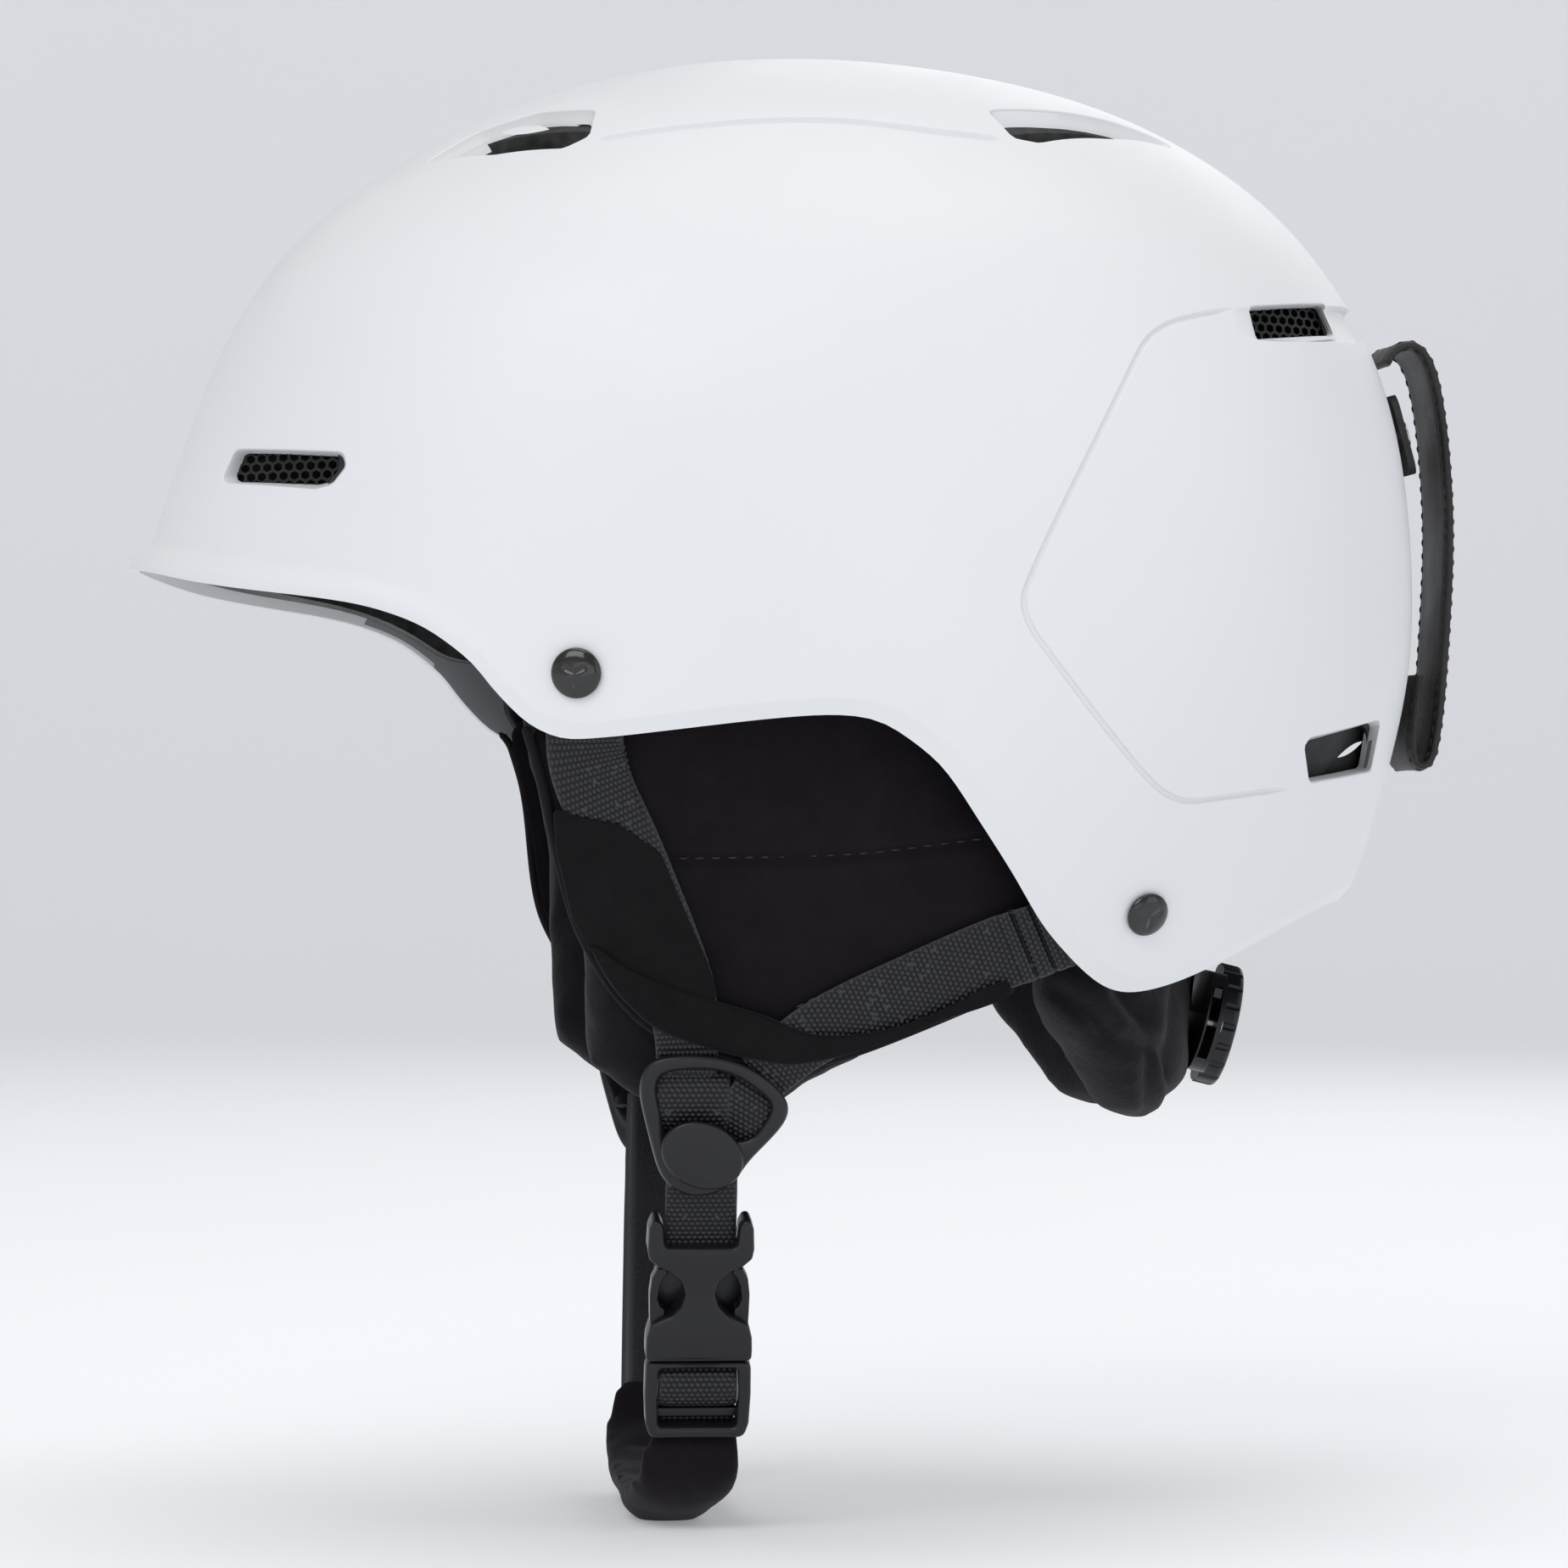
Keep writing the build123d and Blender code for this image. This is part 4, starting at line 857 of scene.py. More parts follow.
def rear_channel():
    """Cutter for the shallow channel that runs round the back between the upper rear windows."""
    count = 90
    reach = 0.915               # quarter turns each way from the rear centre line
    turns = np.linspace(-1, 1, count) * reach
    middle = 57.6 - 2.9 * smoothstep(0.25, 1, np.abs(turns) / reach)
    path = surface(turns, middle)
    normal, aside = surface_frame(path, closed=False)
    half = 4.2 - 0.5 * smoothstep(0.3, 1, np.abs(turns) / reach)
    fade = smoothstep(0, 0.06, (1 - np.abs(turns) / reach) / 2)
    profiles = [groove_profile(h, CHANNEL_DEPTH * (0.05 + 0.95 * f), 0.5, 1.5) for h, f in zip(half, fade)]
    for profile, h in zip(profiles, half):
        floor = profile[:, 1] < -0.3
        aside_share = profile[floor, 0]
        profile[floor, 0] = np.sign(aside_share) * np.clip(np.abs(aside_share) * 1.25, 0, h - 0.05)
    return sweep(path, np.array(profiles), normal, aside)


def cut(piece, cutters):
    """Cuts the tools out of a piece and applies the result."""
    vertices, faces = join_meshes(cutters)
    tool = make("cutter", vertices, faces)
    add_modifier(piece, "BOOLEAN", operation="DIFFERENCE", object=tool, solver="EXACT")
    apply_modifiers(piece)
    bpy.data.objects.remove(tool)


def smooth_shell_normals(mesh):
    """Shading normals: the true surface on the outside, angle-based elsewhere."""
    mesh.polygons.foreach_set("use_smooth", [True] * len(mesh.polygons))
    mesh.set_sharp_from_angle(angle=math.radians(38))
    count = len(mesh.loops)
    normals = np.zeros(count * 3)
    mesh.corner_normals.foreach_get("vector", normals)
    normals = normals.reshape(-1, 3)
    corner_vertex = np.zeros(count, int)
    mesh.loops.foreach_get("vertex_index", corner_vertex)
    places = np.zeros(len(mesh.vertices) * 3)
    mesh.vertices.foreach_get("co", places)
    places = places.reshape(-1, 3) / MM
    face_normals = np.zeros(len(mesh.polygons) * 3)
    mesh.polygons.foreach_get("normal", face_normals)
    face_normals = face_normals.reshape(-1, 3)
    sizes = np.zeros(len(mesh.polygons), int)
    mesh.polygons.foreach_get("loop_total", sizes)
    corner_face = face_normals[np.repeat(np.arange(len(sizes)), sizes)]
    gradient = slope(places)
    distance = np.abs(level(places)) / np.maximum(np.linalg.norm(gradient, axis=1), 1e-9)
    true = outward(places)[corner_vertex]
    on_surface = (distance < 0.03)[corner_vertex] & ((true * corner_face).sum(axis=1) > 0.93)
    normals[on_surface] = true[on_surface]
    mesh.normals_split_custom_set(normals.tolist())


def add_shell(white, painted_shade_inside):
    vertices, faces = build_shell()
    shell = make("shell_skin", vertices, faces, material=white)
    groups, ducts = shell_tools()
    for cutters in groups:
        cut(shell, cutters)
    smooth_shell_normals(shell.data)
    # The second slot holds the painted shade of the shell's inside.
    shell.data.materials.append(painted_shade_inside)
    paint_inside_shade(shell.data)
    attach(shell, "helmet")
    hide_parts("outer_shell")
    duct_vertices, duct_faces = join_meshes(ducts)
    linings = make("vent_linings", duct_vertices, duct_faces, "helmet", white)
    linings.data.set_sharp_from_angle(angle=math.radians(40))
    return shell


def paint_inside_shade(mesh):
    """Gives the shell's inner surface the grey of painted shade."""
    count = len(mesh.polygons)
    centres, normals = np.zeros(count * 3), np.zeros(count * 3)
    mesh.polygons.foreach_get("center", centres)
    mesh.polygons.foreach_get("normal", normals)
    centres, normals = centres.reshape(-1, 3) / MM, normals.reshape(-1, 3)
    deep = -level(centres) / np.maximum(np.linalg.norm(slope(centres), axis=1), 1e-6)
    facing_in = (outward(centres) * normals).sum(axis=1) < -0.6
    inside = (deep > 2.2) & (deep < 3.0) & facing_in
    mesh.polygons.foreach_set("material_index", inside.astype(np.int32))


# ------------------------------------------------------------------ places shared with the CAD

LEAN = math.radians(16.7)           # the ear pad's face leans in towards the chin
FACE_OUT = np.array([0, -math.cos(LEAN), -math.sin(LEAN)])
FACE_ORIGIN = np.array([0, -90.0, -34.0])
BUCKLE_TILT = math.radians(16)
BUCKLE_OUT = np.array([0, -math.cos(BUCKLE_TILT), -math.sin(BUCKLE_TILT)])
BUCKLE_UP = np.array([0, -math.sin(BUCKLE_TILT), math.cos(BUCKLE_TILT)])
CHIN_X = -23.0                      # X of the chin webbing's and the buckle's middle line
BUCKLE_MOUTH = np.array([CHIN_X, -52.69, -163.4])
X_AXIS = np.array([1.0, 0, 0])


def on_face(points, lift=0.0):
    """Points on the ear pad's face from (X, Z), lifted outwards, on the wearer's left."""
    points = np.atleast_2d(np.asarray(points, float))
    lift = np.broadcast_to(np.asarray(lift, float), (len(points),))
    origin = FACE_ORIGIN + lift[:, None] * FACE_OUT
    z = points[:, 1]
    y = origin[:, 1] - math.tan(LEAN) * (z - origin[:, 2])
    return np.column_stack([points[:, 0], y, z])


def on_buckle(points, lift=0.0):
    """Points on the buckle's middle plane from (across, up), lifted outwards."""
    points = np.atleast_2d(np.asarray(points, float))
    lift = np.broadcast_to(np.asarray(lift, float), (len(points),))
    return (BUCKLE_MOUTH + points[:, :1] * X_AXIS + points[:, 1:] * BUCKLE_UP + lift[:, None] * BUCKLE_OUT)


def set_back(places):
    """The right ear pad's upper front corner hangs a little further back than the left one's."""
    moved = np.array(places)
    level_share = smoothstep(-82, -40, moved[:, 2]) * (1 - smoothstep(-34, -24, moved[:, 2]))
    moved[:, 0] += 4.5 * level_share * (1 - smoothstep(-60, -30, moved[:, 0]))
    return moved


def pair(name, part, body, material, nodes=()):
    """The left piece and its mirror image on the right; nodes are CAD name stems that they replace."""
    pieces = []
    for side, shape in (("left", part), ("right", mirror_part(part))):
        piece = make(name + "_" + side, *shape, body, material)
        if side == "right":
            set_places(piece.data, set_back(vertex_places(piece.data)))
        for node in nodes:
            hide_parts(node + "_" + side)
        pieces.append(piece)
    return pieces


def ripple(points, scale, seed):
    """Smooth, repeatable unevenness between -1 and 1 over a set of points."""
    rng = random.Random(seed)
    total = np.zeros(len(points))
    for _ in range(7):
        wave = np.array([rng.uniform(-1, 1) for _ in range(points.shape[1])]) / scale * 2.4
        total += np.sin(points @ wave + rng.uniform(0, 6.28))
    return total / 4.5


# ------------------------------------------------------------------ padded pieces

def soften(name, node, material, shrink, cap=1.6, voxel=3.0, shape=None, form=None, also=()):
    """A padded piece: the CAD solid or its own form, inflated as cloth and given back its curves."""
    source = frame["nodes"][node]
    if form:
        piece = make(name, *form)
    else:
        piece = bpy.data.objects.new(name, source.data.copy())
        bpy.context.scene.collection.objects.link(piece)
        piece.data.materials.clear()
    add_modifier(piece, "REMESH", mode="VOXEL", voxel_size=voxel * MM, use_smooth_shade=True)
    add_modifier(piece, "SMOOTH", factor=0.5, iterations=3)
    apply_modifiers(piece)
    start = vertex_places(piece.data)
    normals = np.zeros(len(piece.data.vertices) * 3)
    piece.data.vertices.foreach_get("normal", normals)
    start -= normals.reshape(-1, 3) * shrink
    set_places(piece.data, start)
    inflate(piece)
    moved = vertex_places(piece.data) - start
    length = np.linalg.norm(moved, axis=1, keepdims=True)
    moved *= np.minimum(1, cap / np.maximum(length, 1e-9))
    set_places(piece.data, start + moved)
    add_modifier(piece, "SMOOTH", factor=0.5, iterations=2)
    add_modifier(piece, "SUBSURF", levels=1, render_levels=1)
    apply_modifiers(piece)
    if shape:
        set_places(piece.data, shape(vertex_places(piece.data)))
    piece.data.materials.append(material)
    piece.data.polygons.foreach_set("use_smooth", [True] * len(piece.data.polygons))
    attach(piece, source["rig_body"])
    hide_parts(node, *also)
    return piece


def inflate(piece):
    """Cloth under light air pressure for twenty frames, then applied."""
    cloth = piece.modifiers.new("cloth", "CLOTH")
    cloth.settings.quality = 4
    cloth.settings.use_pressure = True
    cloth.settings.uniform_pressure_force = 4
    cloth.settings.tension_stiffness = 12
    cloth.settings.compression_stiffness = 12
    cloth.settings.bending_stiffness = 0.4
    cloth.settings.effector_weights.gravity = 0
    cloth.point_cache.frame_start = 1
    cloth.point_cache.frame_end = 20
    for step in range(1, 21):
        bpy.context.scene.frame_set(step)
    apply_modifiers(piece)
    bpy.context.scene.frame_set(1)


def vertex_places(mesh):
    places = np.zeros(len(mesh.vertices) * 3)
    mesh.vertices.foreach_get("co", places)
    return places.reshape(-1, 3) / MM


def set_places(mesh, places):
    mesh.vertices.foreach_set("co", (np.asarray(places) * MM).ravel())
    mesh.update()


def tube(path, radius, sides):
    """A round cord along a path, with tapered ends."""
    path = np.asarray(path, float)
    tangent = unit(np.gradient(path, axis=0))
    up = unit(np.cross(tangent, [0.31, 0.87, 0.38]))
    aside = np.cross(tangent, up)
    turns = np.arange(sides) * 2 * math.pi / sides
    radius = np.broadcast_to(radius, (len(path),)).copy()
    radius[[0, -1]] *= 0.35
    spokes = up[:, None] * np.cos(turns)[None, :, None] + aside[:, None] * np.sin(turns)[None, :, None]
    return tube_mesh(path[:, None] + spokes * radius[:, None, None])


def stitches(path, normal, length, gap, radius):
    """Separate sewn stitches along a path, each dipping into the cloth at its ends."""
    path = np.asarray(path, float)
    steps = np.concatenate([[0], np.cumsum(np.linalg.norm(np.diff(path, axis=0), axis=1))])
    normal = np.broadcast_to(np.asarray(normal, float), path.shape)
    parts = []
    place = gap / 2
    while place + length < steps[-1]:
        along = np.linspace(place, place + length, 7)
        points = np.stack([np.interp(along, steps, path[:, k]) for k in range(3)], axis=1)
        out = unit(np.stack([np.interp(along, steps, normal[:, k]) for k in range(3)], axis=1))
        arch = np.sin(np.linspace(0, math.pi, 7))
        points = points + out * (arch * 0.75 - 0.35)[:, None] * radius * 1.5
        parts.append(tube(points, radius * (0.55 + 0.45 * arch), 6))
        place += length + gap
    return join_meshes(parts)


def panel(outline, centre, low, top, rings=34, edge=0.9):
    """A closed soft panel on the ear pad's face: flat below, its top lift given by a function."""
    shares = np.clip(1 - np.linspace(0, 1, rings) ** 1.15, 0.004, 1)
    layers = []
    for share in shares[::-1]:
        flat = centre + (outline - centre) * share
        layers.append(on_face(flat, low + edge * 0.6 * smoothstep(0.93, 1, share)))
    for share in shares:
        flat = centre + (outline - centre) * share
        layers.append(on_face(flat, top(flat, share)))
    return tube_mesh(layers)


def line_distance(points, line):
    """Distance of (X, Z) points from a polyline."""
    line = np.asarray(line, float)
    best = np.full(len(points), 1e9)
    for a, b in zip(line, line[1:]):
        run = b - a
        t = np.clip(((points - a) @ run) / (run @ run), 0, 1)
        best = np.minimum(best, np.linalg.norm(points - a - t[:, None] * run, axis=1))
    return best


FLAP_OUTLINE = [
    (-61, -31), (-45, -22), (8, -20), (19, -25), (29, -38), (39, -54), (47, -66), (47.5, -77),
    (41, -84.5), (22.5, -92.8), (6, -99.5), (-12, -100), (-33.5, -92.6), (-43.3, -83), (-49.5, -71.5),
    (-54.4, -55),
]
FLAP_CENTRE = np.array([-6.0, -60.0])
FLAP_STITCH = [(-30, -57.4), (-6.2, -57.0), (9.7, -56.3), (21.9, -54.9), (36.5, -53)]
FLAP_RIM = [
    (-61.4, -30), (-58, -41.3), (-54.5, -56.2), (-50.4, -70.4), (-47.2, -77), (-43.2, -83.6), (-38.9, -88.8),
    (-33.6, -93.2), (-26, -96.2), (-17.5, -98.6), (-10, -100.2), (-3, -100.6), (4.5, -99.6), (23, -92.8),
    (42, -84.6),
]


def flap_top(flat, share):
    """Lift of the ear flap's outside: soft edge, a quilted row, slack folds."""
    lift = -2.7 + 2.5 * (1 - share ** 9)
    bulge = np.exp(-((flat[:, 0] - 3) / 24) ** 2 - ((flat[:, 1] + 58) / 27) ** 2)
    lift = lift + 1.5 * bulge * (1 - share ** 3)
    away = line_distance(flat, FLAP_STITCH)
    pucker = 0.16 * np.sin(flat[:, 0] * 1.75) * np.exp(-(away / 3.2) ** 2)
    lift = lift - 1.5 * np.exp(-(away / 1.5) ** 2) * (1 - share ** 6) + pucker
    return lift + 0.28 * ripple(flat, 17, 3) * (1 - share ** 4)


def add_ear_flaps(cloth, binding, thread):
    outline = rounded(FLAP_OUTLINE, 6, 260)
    part = panel(outline, FLAP_CENTRE, -3.6, flap_top)
    for piece in pair("ear_flap_cover", part, "helmet", cloth, ["ear_flap"]):
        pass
    rim = smooth_path(FLAP_RIM, 200)
    lift = -1.7 + 0.8 * smoothstep(70, 120, np.arange(200))
    pair("ear_flap_binding", tube(on_face(rim, lift), 1.05, 10), "helmet", binding)
    line = smooth_path(FLAP_STITCH, 120)
    top = flap_top(line, 0.5)
    pair("ear_flap_stitching", stitches(on_face(line, top + 0.05), FACE_OUT, 2.2, 1.3, 0.2),
         "helmet", thread)


SLEEVE_OUTLINE = [
    (-55.6, -46.5), (-51.4, -48.4), (-42, -50.2), (-33.2, -56.2), (-26.9, -70.4), (-22.9, -79),
    (-19.9, -87.8), (-31, -87), (-42.5, -81.5), (-47.6, -76.4), (-51.4, -69.5), (-54.8, -56),
]
KEEPER_OUTLINE = [
    (-47.2, -75.6), (-41.4, -79.2), (-32, -83.4), (-22.5, -86.6), (-14.9, -89), (-9.3, -90.8), (-3.5, -93.4),
    (3.1, -94.6), (14, -93.6), (28, -88.6), (40.5, -83.4), (40.8, -85.6), (29, -90.8), (15, -96),
    (4.4, -99.4), (-4.5, -100.8), (-10, -100.2), (-17.5, -98.6), (-26.1, -96), (-33.6, -93), (-39, -88.4),
    (-43.4, -83.2),
]
SLEEVE_CENTRE = np.array([-39.0, -69.0])
KEEPER_SPINE = [(-44, -79.5), (-30, -88.6), (-16, -93.8), (-3, -97), (14, -95), (40, -84.6)]


def add_strap_sleeves(cloth):
    """The smooth fabric over the lower front webbing, and the band that both straps pass under."""
    sleeve = rounded(SLEEVE_OUTLINE, 2.5, 150)

    def sleeve_top(flat, share):
        return 2.35 + 0.4 * (1 - share ** 8) + 0.1 * ripple(flat, 9, 5)

    part = panel(sleeve, SLEEVE_CENTRE, 1.0, sleeve_top, 24, 0.2)
    pair("strap_sleeve", part, "helmet", cloth)
    keeper = smooth_path(KEEPER_OUTLINE, 220, closed=True)

    def keeper_top(flat):
        return 2.9 + 0.8 * np.exp(-(line_distance(flat, KEEPER_SPINE) / 4.2) ** 2) + 0.12 * ripple(flat, 10, 9)

    layers = [on_face(keeper, 1.9), on_face(keeper, 2.15)]
    layers += [on_face(spread, keeper_top(spread)) for spread in shrink_rings(keeper, 8)]
    bottom = [on_face(spread, 1.75) for spread in shrink_rings(keeper, 8)[::-1]]
    pair("strap_keeper_band", tube_mesh(bottom + layers), "helmet", cloth, ["strap_keeper"])


def shrink_rings(outline, count):
    """Rings from a long closed outline towards its own spine, by pulling each point to its opposite."""
    size = len(outline)
    rings = []
    start = int(np.argmin(outline[:, 0]))
    rolled = np.roll(outline, -start, axis=0)
    opposite = rolled[(size - np.arange(size)) % size]
    for k in range(1, count + 1):
        share = 0.5 * k / count * 0.98
        rings.append(np.roll(rolled * (1 - share) + opposite * share, start, axis=0))
    return rings


def add_cushions(fleece, cloth, foam_cloth):
    """Every padded piece that the CAD holds as a plain solid."""

    def ear_shape(side):
        def limit(places):
            """Keeps the cushion behind the flap and lets its outer edge roll."""
            flip = [1, -side, 1]
            mirrored = places * flip
            lift = (mirrored - FACE_ORIGIN) @ FACE_OUT
            over = np.maximum(lift + 3.7, 0)
            wave = 0.35 * ripple(mirrored[:, [0, 2]], 15, 11)
            mirrored = mirrored - FACE_OUT * (over + np.where(lift > -5, np.maximum(wave, 0), 0))[:, None]
            moved = mirrored * flip
            return set_back(moved) if side == RIGHT else moved
        return limit

    for side, sign in (("left", LEFT), ("right", RIGHT)):
        soften("ear_cushion_soft_" + side, "ear_cushion_" + side, fleece,
               shrink=0.5, cap=2.2, voxel=3.4, shape=ear_shape(sign))
        soften("temple_pad_soft_" + side, "temple_pad_" + side, fleece, shrink=0.7)
    soften("crown_pad_soft", "crown_pad", fleece, shrink=0.8, cap=1.8)
    soften("brow_pad_soft", "brow_pad", fleece, shrink=0.6)
    soften("rear_pad_soft", "rear_pad", fleece, shrink=0.7)
    soften("nape_pad_soft", "nape_pad", cloth, shrink=0.3, voxel=2.6,
           shape=nape_folds, form=nape_form(), also=("nape_yoke",))
    soften("chin_pad_soft", "chin_pad", foam_cloth, shrink=0.3, voxel=2.3,
           shape=chin_folds, form=chin_form())


NAPE_FOLDS = [
    [(54, -86), (60.5, -90), (66.5, -96.5), (74.5, -99), (76, -112)],
    [(67.5, -86.5), (73, -93), (78.6, -99.5), (80.4, -103), (81, -113)],
    [(82.5, -86), (80, -96), (80.6, -104)],
]


NAPE_CENTRE = 34.5          # X of the upright axis that the nape pad curves round
NAPE_INSIDE = 42            # its inner radius


def nape_form():
    """The nape cradle's fabric cover: a curved pad, deepest behind the middle of the neck."""
    turns = np.radians(np.linspace(-74, 74, 61))
    away = np.degrees(np.abs(turns))
    low = np.interp(away, (0, 20, 36, 47, 55, 62, 72, 76),
                    (-108.5, -111.5, -115, -113.6, -107, -99.5, -92.5, -89.5))
    high = np.interp(away, (0, 50, 74), (-80, -76, -74))
    outer = np.interp(away, (0, 26, 40, 74), (54.3, 56.4, 60.0, 60.4))
    across_share, up_share = round_square(np.arange(40) * 2 * math.pi / 40, 0.62)
    rings = []
    for turn, bottom, top, reach in zip(turns, low, high, outer):
        end = min(1, (math.radians(75.5) - abs(turn)) / 0.16) ** 0.5
        half_high, half_deep = (top - bottom) / 2 * (0.35 + 0.65 * end), (reach - NAPE_INSIDE) / 2 * end
        across, up = across_share * half_deep, up_share * half_high
        radius = (reach + NAPE_INSIDE) / 2 + across - 1.6 * smoothstep(0.2, 1, -up / half_high)
        rings.append(np.column_stack([
            NAPE_CENTRE + radius * math.cos(turn), radius * math.sin(turn), (top + bottom) / 2 + up]))
    return tube_mesh(rings)


def chin_form():
    """The chin pad's fabric tube: it hangs from behind the adjuster and rises again on the far side."""
    path = smooth_path([
        (-44.6, -178.6), (-46.8, -184.5), (-41.5, -190.6), (-25, -197.0), (0, -199.3), (25, -197.0),
        (41.5, -190.4), (47.2, -184), (47.0, -176)], 90)
    run = unit(np.gradient(path, axis=0))
    span = np.linspace(0, 1, len(path))
    half_wide = np.interp(span, (0, 0.08, 0.3, 0.5, 0.85, 0.95, 1), (10.2, 12.2, 11.8, 11.2, 12.2, 10.6, 8.6))
    half_thick = np.interp(span, (0, 0.1, 0.3, 0.7, 0.9, 1), (1.8, 3.4, 4.4, 4.4, 3.4, 1.6))
    middle = np.interp(span, (0, 0.1, 0.35, 0.7, 1), (-23.8, -24.2, -27.2, -26.6, -25.6))
    across_share, deep_share = round_square(np.arange(36) * 2 * math.pi / 36, 0.8)
    rings = []
    for (y, z), (run_y, run_z), wide, thick, centre in zip(path, run, half_wide, half_thick, middle):
        across, deep = across_share * wide, deep_share * thick
        cup = 5.2 * np.abs(across / wide) ** 3 * np.exp(-(y / 34) ** 2)
        rings.append(np.column_stack([centre + across, y + deep * -run_z, z + deep * run_y + cup]))
    return tube_mesh(rings)


def nape_folds(places):
    """Creases where the nape pad's cloth gathers, seen from the side."""
    side = places[:, [0, 2]]
    centre = np.column_stack([np.full(len(places), NAPE_CENTRE), np.zeros(len(places)), places[:, 2]])
    out = unit(places - centre)
    depth = sum(1.7 * np.exp(-(line_distance(side, fold) / 1.7) ** 2) for fold in NAPE_FOLDS)
    swell = sum(0.7 * np.exp(-((line_distance(side, fold) - 4.4) / 2.2) ** 2) for fold in NAPE_FOLDS)
    outer = smoothstep(47.5, 50.5, np.hypot(places[:, 0] - NAPE_CENTRE, places[:, 1]))
    return places + out * ((swell - depth) * outer)[:, None]


def chin_folds(places):
    """Small gathers across the chin pad where it bends."""
    angle = np.arctan2(places[:, 1], -(places[:, 2] + 150))
    depth = 0.32 * np.sin(angle * 15 + 0.6 * np.sin(places[:, 0] * 0.3)) + 0.3 * ripple(places, 11, 21)
    centre = np.column_stack([places[:, 0], np.zeros(len(places)), np.full(len(places), -150.0)])
    out = unit(places - centre)
    return places + out * depth[:, None]


# ------------------------------------------------------------------ webbing

WEBBING_THICK = 1.3
STRAP_GAP = 0.35            # between the shell's inside and the straps under it


def weave(kind, along, across):
    """Relief of woven nylon, 0 to 1: ribs, staggered seeds or a diagonal twill."""
    if kind == "ribs":
        phase = along / 1.3
        thread = 0.72 + 0.28 * np.cos(2 * math.pi * across / 0.95 + math.pi * np.floor(phase))
        return np.abs(np.sin(math.pi * phase)) ** 0.7 * thread
    if kind == "seeds":
        phase = along / 1.05
        thread = 0.5 + 0.5 * np.cos(2 * math.pi * (across / 1.25 + 0.5 * (np.floor(phase) % 2)))
        return np.abs(np.sin(math.pi * phase)) ** 0.8 * (0.35 + 0.65 * thread)
    phase = along / 1.35 + across * 0.22
    return np.abs(np.sin(math.pi * phase)) ** 0.75


def webbing(stations, kind, thick=WEBBING_THICK, relief=0.38, step=0.25, columns=66, crimp=None):
    """A woven strap through stations of (centre, outward normal, width)."""
    centres = np.array([station[0] for station in stations], float)
    normals = np.array([station[1] for station in stations], float)
    widths = np.array([station[2] for station in stations], float)
    gaps = np.linalg.norm(np.diff(centres, axis=0), axis=1)
    knots = np.concatenate([[0], np.cumsum(gaps)])
    count = max(int(knots[-1] / step), 8)
    t = np.linspace(0, knots[-1], count)
    path = natural_spline(knots, centres)(t)
    tangent = unit(np.gradient(path, axis=0))
    normal = natural_spline(knots, normals)(t)
    normal = unit(normal - (normal * tangent).sum(axis=1, keepdims=True) * tangent)
    aside = np.cross(normal, tangent)
    width = np.interp(t, knots, widths)
    u = np.linspace(-1, 1, columns)
    across = u[None, :] * width[:, None] / 2
    soft_edge = thick / 2 * (1 - 0.62 * np.abs(u) ** 14)
    woven = relief * weave(kind, t[:, None], across) * (1 - 0.6 * np.abs(u) ** 8)
    if crimp is not None:
        woven = woven + crimp(t, u, knots[-1])
    middle = path[:, None] + aside[:, None] * across[..., None]
    front = middle + normal[:, None] * (soft_edge[None] + woven - relief * 0.5)[..., None]
    back = middle - normal[:, None] * soft_edge[None, :, None]
    rings = np.concatenate([front, back[:, ::-1][:, ::3]], axis=1)
    return tube_mesh(rings)


FRONT_ANCHOR = np.array([-51.3, -99.4, -19.1])
FRONT_ANCHOR_OUT = unit([-0.25, -0.966, -0.07])
REAR_ANCHOR = np.array([68.3, -84.8, -68.8])
REAR_ANCHOR_OUT = unit([0.373, -0.855, -0.36])
UNDER_SHELL = WALL + STRAP_GAP + WEBBING_THICK / 2


def along_plane(direction, normal):
    direction = np.asarray(direction, float)
    return unit(direction - normal * (direction @ normal))


def face_stations(*rows):
    """Strap stations on the ear pad's face, from rows of X, Z, lift and width."""
    return [(on_face([(x, z)], lift)[0], FACE_OUT, width) for x, z, lift, width in rows]


def buckle_stations(*rows):
    """Strap stations on the buckle's middle line, from rows of height, lift and width."""
    return [(on_buckle([(0, up)], lift)[0], BUCKLE_OUT, width) for up, lift, width in rows]


